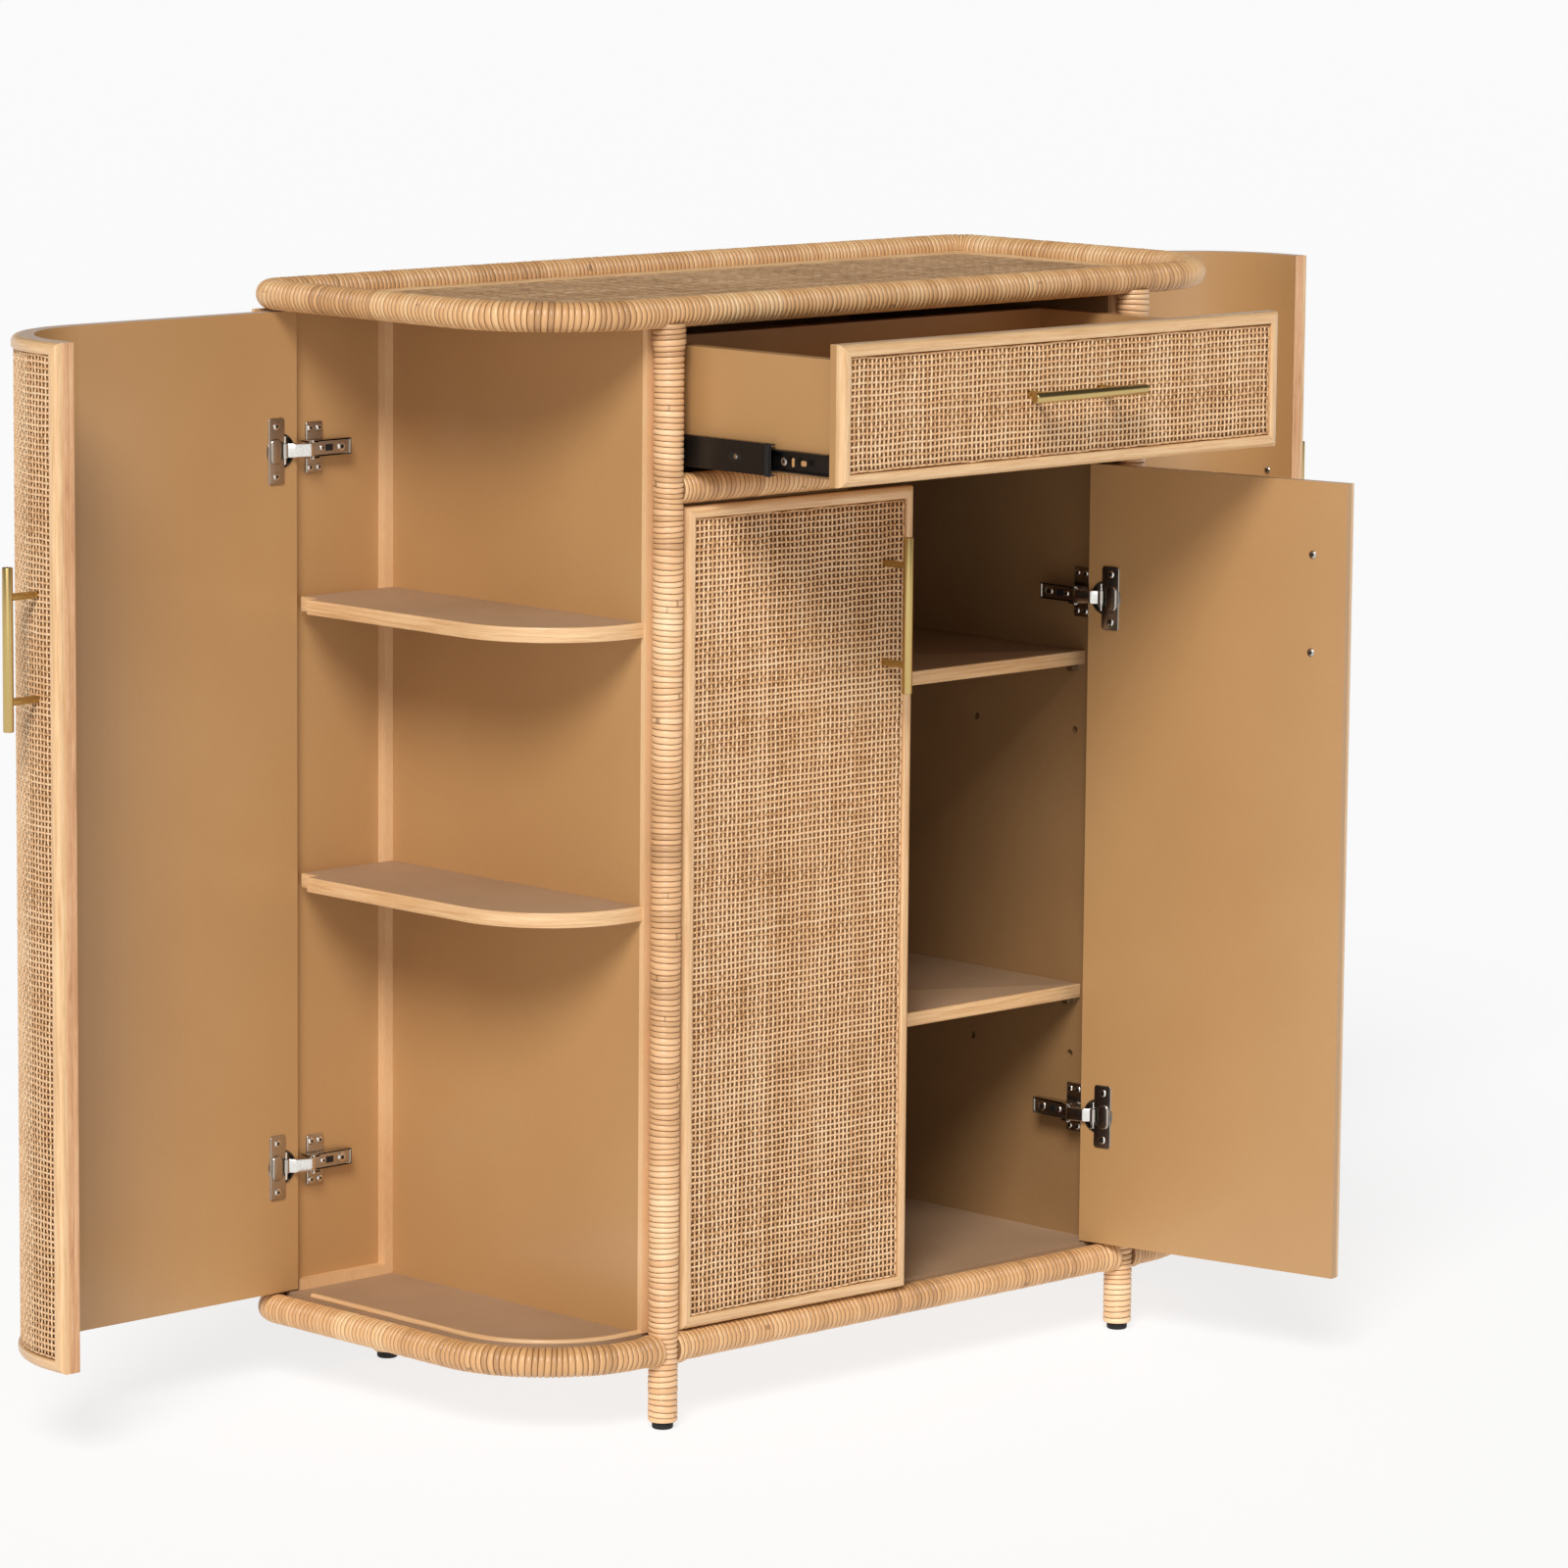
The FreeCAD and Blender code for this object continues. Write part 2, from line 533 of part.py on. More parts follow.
def flat_front(name, x, z, wide, tall, handle_x, handle_z, upright, bores=()):
    """Board, frame, cane and handle of a flat front whose lower left corner is at (x, z)."""
    y = "door_face_y"
    window = (f"{z} + frame_w", f"{wide} - 2 * frame_w", f"{tall} - 2 * frame_w")
    in_x, (in_z, in_wide, in_tall) = f"{x} + frame_w", window
    back = box(name + "_back", x, f"{y} + frame_t", z, wide, "front_door_t - frame_t", tall)
    field = box(name + "_field", in_x, f"{y} + cane_back", in_z, in_wide, "frame_t - cane_back", in_tall)
    board = cut(name + "_board", fuse(name + "_panel", back, field),
                *handle_holes(name, handle_x, handle_z, upright, "front_door_t"), *bores)
    ring = cut(name + "_ring", box(name + "_ring_out", x, y, z, wide, "frame_t", tall),
               box(name + "_ring_in", in_x, y, in_z, in_wide, "frame_t", in_tall))
    doc.recompute()
    limits = ring.Shape.BoundBox

    def on_front_rim(edge):
        bounds = edge.BoundBox
        on_side = [bounds.XMax - limits.XMin, bounds.XMin - limits.XMax, bounds.ZMax - limits.ZMin,
                   bounds.ZMin - limits.ZMax]
        return bounds.YMax - limits.YMin < SMALL and min(map(abs, on_side)) < SMALL

    frame = rounded_edges(name + "_frame", ring, on_front_rim, DIM["frame_round"])
    web = box(name + "_web", in_x, f"{y} + cane_back - cane_t", in_z, in_wide, "cane_t", in_tall)
    cane = cut(name + "_cane", web, *drilled(name + "_cane_hole", handle_x, y, handle_z, upright, "leg_r",
                                             "cane_back"))
    grip = handle(name + "_handle", handle_x, handle_z, upright, "front_door_t")
    return {"board": board, "frame": frame, "cane": cane, "handle": grip}


def hang(kind, pieces, degrees):
    """Hang the left door and its mirror image, each opened by its own angle."""
    x, y = pin_place(kind)[:2]
    for piece, source in pieces.items():
        for where, side in SIDES.items():
            label = f"{where}_{kind}_door_{piece}"
            item = group(label, source) if side < 0 else mirror(label, source)
            centre = FreeCAD.Vector(-side * x, DIM["front_y"] + y, 0)
            turn = FreeCAD.Rotation(Z_AXIS, side * degrees[where])
            item.Placement = FreeCAD.Placement(FreeCAD.Vector(), turn, centre)
            keep(label, item)


def make_front_doors():
    bores = [rod(f"front_cup_bore_{z}", "cup_in - front_hinge_x", "door_face_y + front_door_t - cup_deep", z, "cup_r",
                 "cup_deep", "y") for z in ("front_low_z", "front_high_z")]
    pieces = flat_front("front_door", "-front_hinge_x", "door_z", "front_door_w", "front_door_tall",
                        "front_door_w - front_hinge_x - front_handle_in", "front_handle_z", True, bores)
    pieces["hinge_cups"] = hinge_cups("front", 0)
    hang("front", pieces, {"left": DIM["left_front_open"], "right": DIM["right_front_open"]})


# ---------------------------------------------------------------- curved end doors

def curved_band(name, inner, outer, z, tall, back, free_x):
    """A wall round the left front corner, from inner to outer beyond the rims' centre line."""
    inner, outer, bend_x = f"({inner})", f"({outer})", "(rim_x - bend_r)"
    thick = f"({outer} - {inner})"
    arc = cut(name + "_arc",
              rod(name + "_arc_outer", f"-{bend_x}", "bend_r", z, f"bend_r + {outer}", tall, angle=90,
                  turn=FreeCAD.Rotation(Z_AXIS, 180)),
              rod(name + "_arc_inner", f"-{bend_x}", "bend_r", z, f"bend_r + {inner}", tall))
    return fuse(name, arc,
                box(name + "_flat", f"-rim_x - {outer}", "bend_r", z, thick, f"{back} - bend_r", tall),
                box(name + "_tail", f"-{bend_x}", f"-{outer}", z, f"{bend_x} - ({free_x})", thick, tall))


def on_outer_edge(limits):
    """A test for the edges round the outer face of the curved frame."""
    bend_x, bend_y = DIM["bend_r"] - DIM["rim_x"], DIM["front_y"] + DIM["bend_r"]
    reach = bend_x - limits.XMin

    def outermost(point):
        if point.y > bend_y or point.x > bend_x:
            return min(point.x - limits.XMin, point.y - limits.YMin) < SMALL
        return abs(FreeCAD.Vector(point.x - bend_x, point.y - bend_y, 0).Length - reach) < SMALL

    def test(edge):
        first, last = edge.ParameterRange
        points = [edge.valueAt(first + (last - first) * share) for share in (0.1, 0.5, 0.9)]
        ends = [abs(limits.ZMin - point.z) < SMALL or abs(limits.ZMax - point.z) < SMALL
                or abs(limits.YMax - point.y) < SMALL or abs(limits.XMax - point.x) < SMALL for point in points]
        return all(ends) and all(outermost(point) for point in points)

    return test


def make_end_doors():
    face, behind = "-door_face_y", "-door_face_y - end_door_t"
    whole = ("door_z", "end_door_tall", "end_hinge_y", "end_free_x")
    window = ("door_z + frame_w", "end_door_tall - 2 * frame_w", "end_hinge_y - frame_w", "end_free_x + frame_w")
    spot = ("-end_free_x - end_handle_in", "end_handle_z", True)
    # the screws are a little longer here, because the board curves away behind the handle
    grip = "(end_door_t + 1)"
    bores = [rod(f"end_cup_bore_{z}", f"-rim_x - ({behind}) - cup_deep", "end_hinge_y - cup_in", z, "cup_r",
                 "cup_deep", "x") for z in ("end_low_z", "end_high_z")]
    panel = fuse("end_door_panel", curved_band("end_back", behind, f"{face} - frame_t", *whole),
                 curved_band("end_field", f"{face} - frame_t", f"{face} - cane_back", *window))
    board = cut("end_door_board", panel, *handle_holes("end_door", *spot, grip), *bores)
    ring = cut("end_ring", curved_band("end_ring_out", f"{face} - frame_t", face, *whole),
               curved_band("end_ring_in", f"{face} - 2 * frame_t", f"{face} + frame_t", *window))
    doc.recompute()
    frame = rounded_edges("end_door_frame", ring, on_outer_edge(ring.Shape.BoundBox), DIM["frame_round"])
    web = curved_band("end_web", f"{face} - cane_back", f"{face} - cane_back + cane_t", *window)
    cane = cut("end_door_cane", web, *drilled("end_cane_hole", spot[0], "door_face_y", *spot[1:], "leg_r",
                                              "cane_back + leg_sunk"))
    pieces = {"board": board, "frame": frame, "cane": cane, "handle": handle("end_handle", *spot, grip),
              "hinge_cups": hinge_cups("end", -90)}
    hang("end", pieces, {"left": DIM["end_open"], "right": DIM["end_open"]})


# ---------------------------------------------------------------- drawer and slides

def channel(name, x, way, y, half, deep):
    """A left slide member: a web at x and two lips that stand from it to the side of way."""
    low, wall = f"slide_z - {half}", "slide_wall"
    web_x, lip_x = (x, x) if way > 0 else (f"{x} - {wall}", f"{x} - {deep}")
    return fuse(name,
                box(name + "_web", web_x, y, low, wall, "slide_long", f"2 * {half}"),
                box(name + "_low_lip", lip_x, y, low, deep, "slide_long", wall),
                box(name + "_high_lip", lip_x, y, f"slide_z + {half} - {wall}", deep, "slide_long", wall))


def make_slides():
    both("slide_rails", channel("slide_rail", f"-{INNER}", 1, "slide_y", "outer_half", "outer_deep"))
    both("slide_middles", channel("slide_middle", f"middle_gap - {INNER}", 1, "slide_y - slide_share * drawer_out",
                                  "middle_half", "middle_deep"))
    both("slide_inners", channel("slide_inner", "-box_x", -1, "slide_y - drawer_out", "inner_half", "inner_deep"))


def make_drawer():
    pieces = flat_front("drawer_face", "-front_hinge_x", "drawer_z", "2 * front_hinge_x", "drawer_tall", "0",
                        "drawer_handle_z", False)
    for piece, source in pieces.items():
        label = "drawer_handle" if piece == "handle" else f"drawer_front_{piece}"
        item = keep(label, group(label, source))
        bind(item, **{"Placement.Base.y": "-drawer_out"})
    start, inner = "door_face_y + front_door_t - drawer_out", "(box_x - box_t)"
    side = box("drawer_side", "-box_x", start, "box_z", "box_t", "box_deep", "box_tall")
    back = box("drawer_back", f"-{inner}", f"{start} + box_deep - box_t", "box_z", f"2 * {inner}", "box_t",
               "box_tall")
    keep("drawer_box_walls", group("drawer_box_walls", side, mirror("drawer_side_image", side), back))
    keep("drawer_bottom", box("drawer_bottom", f"-{inner}", start, "box_z + box_floor_up", f"2 * {inner}",
                              "box_deep - box_t", "box_floor_t"))


# ---------------------------------------------------------------- build, check and write

def check(items):
    for item in doc.Objects:
        if {"Invalid", "Error"} & set(item.State):
            raise RuntimeError(f"{item.Name} did not build")
    for item in items:
        if item.Shape.isNull() or not item.Shape.isValid() or not item.Shape.Solids:
            raise RuntimeError(f"{item.Label} has no valid shape")
        if min(solid.Volume for solid in item.Shape.Solids) <= 0:
            raise RuntimeError(f"{item.Label} holds a solid with no volume")


def write(items):
    os.makedirs("parts", exist_ok=True)
    for item in items:
        item.Shape.exportStep(os.path.join("parts", item.Label + ".step"))


make_frame()
make_top_and_bottom()
make_walls()
make_shelves()
make_hinge_arms("front", 90)
make_hinge_arms("end", 0)
make_front_doors()
make_end_doors()
make_slides()
make_drawer()
doc.recompute()
check(nodes)
write(nodes)

whole = FreeCAD.BoundBox()
for node in nodes:
    whole.add(node.Shape.optimalBoundingBox())
print(f"{len(nodes)} nodes, X {whole.XMin:.2f} {whole.XMax:.2f}, Y {whole.YMin:.2f} {whole.YMax:.2f}, "
      f"Z {whole.ZMin:.2f} {whole.ZMax:.2f}")
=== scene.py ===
"""Looks of a rattan shoe cabinet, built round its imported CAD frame.

Points are worked out in millimetres, in the left half and with everything shut, Y counted from
the front posts' axis. Each body then mirrors them, opens them to its rest pose and moves them
into the row frame, in metres."""
import json
import math

import bmesh
import bpy
import numpy as np
from mathutils import Matrix, Vector


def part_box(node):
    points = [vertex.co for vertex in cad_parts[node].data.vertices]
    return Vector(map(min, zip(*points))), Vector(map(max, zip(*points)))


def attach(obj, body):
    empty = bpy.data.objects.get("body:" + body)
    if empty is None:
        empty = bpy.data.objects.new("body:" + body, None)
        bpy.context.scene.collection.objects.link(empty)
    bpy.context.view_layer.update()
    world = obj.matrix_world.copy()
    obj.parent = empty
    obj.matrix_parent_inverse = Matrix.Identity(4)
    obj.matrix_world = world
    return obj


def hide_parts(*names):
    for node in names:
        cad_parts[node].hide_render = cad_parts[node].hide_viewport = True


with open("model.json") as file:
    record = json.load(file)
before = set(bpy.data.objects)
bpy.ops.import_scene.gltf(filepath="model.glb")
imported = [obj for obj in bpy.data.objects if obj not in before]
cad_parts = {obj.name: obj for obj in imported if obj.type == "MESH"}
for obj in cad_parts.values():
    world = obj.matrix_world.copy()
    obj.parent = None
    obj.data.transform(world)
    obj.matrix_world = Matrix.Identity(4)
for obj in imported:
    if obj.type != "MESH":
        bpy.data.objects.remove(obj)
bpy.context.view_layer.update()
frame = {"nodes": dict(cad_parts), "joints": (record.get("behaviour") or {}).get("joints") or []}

rng = np.random.default_rng(7)

# ------------------------------------------------------------------ sizes, in millimetres

MM = 0.001
JOINTS = {joint["child"]: joint for joint in frame["joints"]}
SHUT = {body: abs(joint.get("range_deg", joint.get("range_m"))[0])
        for body, joint in JOINTS.items()}


def box(node):
    """Lowest and highest corner of a CAD node, in millimetres."""
    low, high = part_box(node)
    return np.array(low) / MM, np.array(high) / MM


post_low, post_high = box("left_front_post")
rim_high = box("top_rim")[1]
POLE_R = (post_high[0] - post_low[0]) / 2
FRONT = (post_high[1] + post_low[1]) / 2
POST_X = -(post_high[0] + post_low[0]) / 2
FOOT_TALL = box("foot_caps")[1][2]
RIM_X = rim_high[0] - POLE_R
RIM_Y = box("top_back_rail")[1][1] - POLE_R - FRONT
TOP_Z = rim_high[2] - POLE_R
FLOOR_Z = box("floor_front_rail")[1][2] - POLE_R
MIDDLE_Z = box("middle_rail")[1][2] - POLE_R
BEND_R = 125.0
BACK_BEND_R = 24.0
BEND_X = RIM_X - BEND_R

FACE_Y = -7.5
FRAME_W, FRAME_T, FRAME_ROUND = 11.5, 8.5, 6.0
CANE_PITCH_U, CANE_PITCH_V = 5.5, 5.75
CANE_PLANE, CANE_WAVE, CANE_CROWN = -3.15, 0.42, 0.75
FRONT_DOOR = {"z": 92.5, "tall": 786.5, "thick": 16.5, "edge_x": 297.0, "free_x": 1.7}
DRAWER = {"z": 913.5, "tall": 131.0, "thick": 16.5}
END_DOOR = {"z": 92.5, "tall": 953.0, "thick": 21.0, "edge_y": 390.3, "free_x": 332.0}
PINS = {}
for kind in ("front", "end"):
    pin = JOINTS[f"left_{kind}_door"]["pos_m"]
    PINS[kind] = (pin[0] / MM, pin[1] / MM - FRONT)
HINGE_Z = {"front": (222.3, 746.3), "end": (216.2, 912.3)}
BAR_R, BAR_LONG, LEG_R, LEG_PITCH, STAND_OFF = 5.0, 151.0, 3.5, 96.0, 30.0
BAR_Z = {"front": 759.3, "end": 766.0, "drawer": 985.0}
BAR_IN = {"front": 37.6, "end": 34.0}
TURN_WIDE, GROOVE_DEEP, COLLAR_SWELL = 5.5, 1.35, 1.5
CUP_R, CUP_IN, COVER_Q = 17.4, 6.7, 2.0
FLANGE_WIDE, FLANGE_TALL, FLANGE_P = 19.7, 64.0, 12.4
ARM_HALF, ARM_END = 7.5, 80.0

# ------------------------------------------------------------------ materials


def linear(code):
    """Linear RGBA of an sRGB hex colour."""
    parts = [int(code[i:i + 2], 16) / 255 for i in (1, 3, 5)]
    return [c / 12.92 if c <= 0.04045 else ((c + 0.055) / 1.055) ** 2.4 for c in parts] + [1.0]


TIMES = {"operation": "MULTIPLY"}
WHOLE = {"operation": "FLOOR"}


def add(tree, kind, settings=None, stops=None, **inputs):
    """Add a node, set its properties and ramp stops, then set or link its inputs.

    An input is named by its socket, with _ for a space, or by i and its number."""
    made = tree.nodes.new("ShaderNode" + kind)
    for name, value in (settings or {}).items():
        setattr(made, name, value)
    if stops:
        elements = made.color_ramp.elements
        while len(elements) < len(stops):
            elements.new(0.5)
        for element, (place, code) in zip(elements, stops):
            element.position = place
            element.color = linear(code)
    for name, value in inputs.items():
        number = name[1:]
        socket = made.inputs[int(number) if number.isdigit() else name.replace("_", " ")]
        if isinstance(value, bpy.types.Node):
            tree.links.new(value.outputs[0], socket)
        elif isinstance(value, bpy.types.NodeSocket):
            tree.links.new(value, socket)
        else:
            socket.default_value = value
    return made


def new_material(name):
    """An empty material with a Principled shader, and its node tree."""
    made = bpy.data.materials.new(name)
    made.use_nodes = True
    tree = made.node_tree
    tree.nodes.clear()
    shader = add(tree, "BsdfPrincipled")
    add(tree, "OutputMaterial", Surface=shader)
    return made, tree, shader


def finish_shader(tree, shader, colour, bump=None, height_mm=0.1, **sockets):
    """Link a colour and a bump, and set the constant sockets."""
    source = colour.outputs[0] if isinstance(colour, bpy.types.Node) else colour
    tree.links.new(source, shader.inputs["Base Color"])
    if bump is not None:
        relief = add(tree, "Bump", Height=bump, Distance=height_mm * MM, Strength=1.0)
        tree.links.new(relief.outputs[0], shader.inputs["Normal"])
    for name, value in sockets.items():
        shader.inputs[name.replace("_", " ")].default_value = value


def mixture(tree, *parts):
    """The sum of each value times its weight."""
    total = 0.0
    for value, weight in parts:
        total = add(tree, "Math", {"operation": "MULTIPLY_ADD"}, i0=value, i1=weight, i2=total)
    return total


def wound_rattan(name, stops):
    """Split rattan peel wound round poles: satin skin, each turn its own honey tone, dark nodes.

    UV holds the turn's number and fraction along the pole, and the share of a turn round it."""
    made, tree, shader = new_material(name)
    uv = add(tree, "SeparateXYZ", Vector=add(tree, "TexCoord").outputs["UV"])
    band, turn = uv.outputs[0], uv.outputs[1]
    number = add(tree, "Math", WHOLE, i0=band)
    tone = add(tree, "TexWhiteNoise", {"noise_dimensions": "1D"}, W=number)
    # a length of peel covers about 17 turns before the next one starts
    peel = add(tree, "Math", WHOLE, i0=add(tree, "Math", {"operation": "DIVIDE"}, i0=number, i1=17.0))
    peel_tone = add(tree, "TexWhiteNoise", {"noise_dimensions": "1D"}, W=peel)
    # fibres run round the pole, about 8 to a 5.5 mm turn
    place = add(tree, "CombineXYZ", X=band, Y=turn, Z=peel)
    fibre = add(tree, "TexNoise", {"noise_dimensions": "3D"}, Scale=1.0, Detail=3.0, Vector=add(
        tree, "VectorMath", TIMES, i0=place, i1=(8.0, 3.0, 1.0)))
    blotch = add(tree, "TexNoise", Scale=9.0, Detail=3.0, Vector=add(tree, "TexCoord").outputs["Object"])
    mixed = mixture(tree, (tone, 0.22), (peel_tone, 0.30), (fibre, 0.16), (blotch, 0.34))
    colour = add(tree, "ValToRGB", Fac=mixed, stops=stops)
    # leaf scars: short dark strokes along a turn
    place = add(tree, "CombineXYZ", X=number, Y=turn, Z=1.0)
    scar = add(tree, "TexNoise", Scale=1.0, Detail=1.0, Vector=add(
        tree, "VectorMath", TIMES, i0=place, i1=(5.3, 7.0, 11.0)))
    scar = add(tree, "ValToRGB", Fac=scar, stops=[(0.735, "#000000"), (0.765, "#FFFFFF")])
    # painted shade in the groove between two turns
    share = add(tree, "Math", {"operation": "FRACT"}, i0=band)
    off = add(tree, "Math", {"operation": "ABSOLUTE"}, i0=add(
        tree, "Math", {"operation": "SUBTRACT"}, i0=share, i1=0.5))
    groove_shade = add(tree, "MapRange", {"interpolation_type": "SMOOTHSTEP"}, Value=off, From_Min=0.39,
                 From_Max=0.48)
    for mask, strength, dark in ((scar, 0.6, "#7A5230"), (groove_shade, 0.8, "#5A351B")):
        share = add(tree, "Math", TIMES, i0=mask, i1=strength)
        colour = add(tree, "Mix", {"data_type": "RGBA"}, Factor=share, i6=colour, i7=linear(dark)).outputs[2]
    finish_shader(tree, shader, colour, bump=fibre, height_mm=0.25, Roughness=0.42, Coat_Weight=0.22,
                  Coat_Roughness=0.3)
    return made


def cane_strip(name, stops, roughness):
    """Flat strips of rattan core, woven: each strip its own tone, with fine lines along it."""
    made, tree, shader = new_material(name)
    place = add(tree, "TexCoord").outputs["Object"]
    uv = add(tree, "SeparateXYZ", Vector=add(tree, "TexCoord").outputs["UV"])
    number = add(tree, "Math", WHOLE, i0=uv.outputs[0])
    tone = add(tree, "TexWhiteNoise", {"noise_dimensions": "1D"}, W=number)
    lengthwise = add(tree, "CombineXYZ", X=number, Y=uv.outputs[1])
    streak = add(tree, "TexNoise", Scale=1.0, Detail=3.0, Vector=add(
        tree, "VectorMath", TIMES, i0=lengthwise, i1=(7.7, 0.09, 1.0)))
    cloud = add(tree, "TexNoise", Scale=14.0, Detail=4.0, Vector=place)
    fine = add(tree, "TexNoise", Scale=900.0, Detail=2.0, Vector=place)
    mixed = mixture(tree, (tone, 0.26), (streak, 0.42), (cloud, 0.34))
    colour = add(tree, "ValToRGB", Fac=mixed, stops=stops)
    finish_shader(tree, shader, colour, bump=fine, height_mm=0.08, Roughness=roughness)
    return made


def lacquered_wood(name, stops, streak, roughness, coat):
    """Sawn wood under clear lacquer. UV is in millimetres: U along the grain, V across it."""
    made, tree, shader = new_material(name)
    uv = add(tree, "TexCoord").outputs["UV"]
    stretched = add(tree, "VectorMath", TIMES, i0=uv, i1=(0.012, streak, 0.0))
    grain = add(tree, "TexNoise", Scale=1.0, Detail=5.0, Roughness=0.62, Distortion=0.6, Vector=stretched)
    pore = add(tree, "TexNoise", Scale=7.0, Detail=2.0, Vector=stretched)
    colour = add(tree, "ValToRGB", Fac=mixture(tree, (grain, 0.75), (pore, 0.25)), stops=stops)
    finish_shader(tree, shader, colour, bump=pore, height_mm=0.06, Roughness=roughness, Coat_Weight=coat,
                  Coat_Roughness=0.25)
    return made


def veneered_board(name, stops, roughness, coat, grain_axis="Z"):
    """Veneered board under an opaque tinted lacquer: faint clouds, and pores sunk here and there."""
    made, tree, shader = new_material(name)
    place = add(tree, "TexCoord").outputs["Object"]
    # pores about 1.4 mm apart and 8 mm long, a little coarser than real so that they show
    scale = [120.0 if axis == grain_axis else 700.0 for axis in "XYZ"]
    pores = add(tree, "TexNoise", Scale=1.0, Detail=2.0, Roughness=0.7,
                Vector=add(tree, "Mapping", Vector=place, Scale=scale))
    cloud = add(tree, "TexNoise", Scale=5.0, Detail=3.0, Vector=place)
    # the lacquer's own fine ripple
    ripple = add(tree, "TexNoise", Scale=260.0, Detail=1.0, Vector=place)
    colour = add(tree, "ValToRGB", Fac=mixture(tree, (cloud, 0.7), (pores, 0.3)), stops=stops)
    # where a pore is deep the lacquer leaves a faint speck
    speck = add(tree, "MapRange", Value=pores, From_Min=0.66, From_Max=0.78, To_Max=0.3)
    colour = add(tree, "Mix", {"data_type": "RGBA"}, Factor=speck, i6=colour, i7=linear("#7A5836"))
    finish_shader(tree, shader, colour.outputs[2], bump=mixture(tree, (ripple, 1.0), (pores, 0.5)),
                  height_mm=0.05, Roughness=roughness, Coat_Weight=coat, Coat_Roughness=0.18)
    return made


def plain_metal(name, code, roughness, scratch):
    """A metal finish with fine, even brushing marks."""
    made, tree, shader = new_material(name)
    marks = add(tree, "TexNoise", Scale=scratch, Detail=2.0, Vector=add(tree, "TexCoord").outputs["Object"])
    tint = add(tree, "Mix", {"data_type": "RGBA"}, Factor=add(tree, "Math", TIMES, i0=marks, i1=0.35),
               i6=linear(code), i7=linear("#6E5A3C"))
    finish_shader(tree, shader, tint.outputs[2], bump=marks, height_mm=0.01, Roughness=roughness,
                  Metallic=1.0)
    return made


def speckled(name, low, high, scale, roughness, bump_mm):
    """A matt surface whose colour wanders between two tones."""
    made, tree, shader = new_material(name)
    spots = add(tree, "TexNoise", Scale=scale, Detail=5.0, Roughness=0.65, Vector=add(
        tree, "TexCoord").outputs["Object"])
    colour = add(tree, "ValToRGB", Fac=spots, stops=[(0.35, low), (0.65, high)])
    finish_shader(tree, shader, colour, bump=spots, height_mm=bump_mm, Roughness=roughness)
    return made


# skin of split rattan, waxy and honey coloured; the posts get a paler copy of it, which is painted light
RATTAN = wound_rattan("wound_rattan_peel", [
    (0.24, "#A77C52"), (0.38, "#CA9965"), (0.52, "#D8A772"), (0.66, "#E2B682"), (0.84, "#EBC796")])
LIT_RATTAN = wound_rattan("lit_copy_rattan_peel", [
    (0.22, "#B58A60"), (0.36, "#D6A777"), (0.50, "#E4B586"), (0.64, "#EDC496"), (0.82, "#F4D4A9")])
# rattan core split flat, dry and pale; on the top it is stained darker under a thin lacquer
CANE = cane_strip("open_cane_webbing", [
    (0.30, "#C0905F"), (0.44, "#DFB283"), (0.58, "#EBC397"), (0.75, "#F1D1A8")], 0.5)
TOP_CANE = cane_strip("herringbone_cane", [
    (0.30, "#94724F"), (0.48, "#B8926B"), (0.62, "#CBA67F"), (0.8, "#D9B994")], 0.45)
# a dark sheet behind the webbing: painted shade seen through its holes
CANE_SHADE_GROUND = speckled("painted_shade_cane_ground", "#7A5029", "#946A3E", 300.0, 0.7, 0.05)
# rubberwood strips, sanded and lacquered: straight streaks and a soft gloss
EDGE = lacquered_wood("jointed_edge_wood", [
    (0.3, "#B57F54"), (0.5, "#D09C6F"), (0.7, "#E2B88E")], 1.1, 0.45, 0.2)
TRIM = lacquered_wood("lacquered_rubberwood", [
    (0.30, "#C0905C"), (0.5, "#DCB282"), (0.68, "#E9C698")], 0.35, 0.38, 0.3)
STRIP_WOOD = veneered_board("lacquered_strip_wood", [
    (0.36, "#D3A473"), (0.5, "#DEB383"), (0.66, "#E6BF92")], 0.4, 0.3)
# fibreboard faced and sprayed tan: nearly one colour, with a satin gloss
BOARD = veneered_board("tinted_lacquer_veneer", [
    (0.36, "#B38756"), (0.5, "#B68A59"), (0.64, "#B98E5D")], 0.40, 0.4)
# the same tan lacquer made darker for the inside of the cabinet: painted shade
SHADED_INNER_BOARD = veneered_board("shaded_copy_inner_lacquer", [
    (0.36, "#8D6A43"), (0.5, "#946F48"), (0.64, "#9A754D")], 0.45, 0.2)
# shelf tops are left matt and a little greyer
SHELF_FACE = veneered_board("matt_faced_board", [
    (0.36, "#A08162"), (0.5, "#A88869"), (0.66, "#AE8F72")], 0.6, 0.0, "X")
# brushed and clear-coated brass, and plated steels from dull grey to near mirror
BRASS = plain_metal("satin_brass", "#D8BC7C", 0.30, 1500.0)
NICKEL = plain_metal("nickel_plated_steel", "#C9C3BA", 0.24, 900.0)
LINK = plain_metal("polished_link", "#F4F2ED", 0.14, 400.0)
# black electroplate on rolled steel, unlit screw drives, and moulded rubber
SLIDE = speckled("black_electroplate", "#080707", "#12100F", 400.0, 0.3, 0.01)
RECESS = speckled("shadowed_drive", "#060505", "#100D0B", 400.0, 0.6, 0.0)
RUBBER = speckled("moulded_black_rubber", "#0B0A09", "#191715", 500.0, 0.72, 0.03)
# CAD nodes that stay visible and aren't plain board; the inside sides and the drawer deck get the lacquer's
# darker copy, which is painted shade
NODE_FINISH = {"slide_rails": SLIDE, "slide_middles": SLIDE, "slide_inners": SLIDE, "shelf_pins": NICKEL,
               "edge_strips": STRIP_WOOD, "bottom_board": SHELF_FACE, "inner_sides": SHADED_INNER_BOARD,
               "drawer_deck": SHADED_INNER_BOARD}

# ------------------------------------------------------------------ placing: left and shut to the rest pose


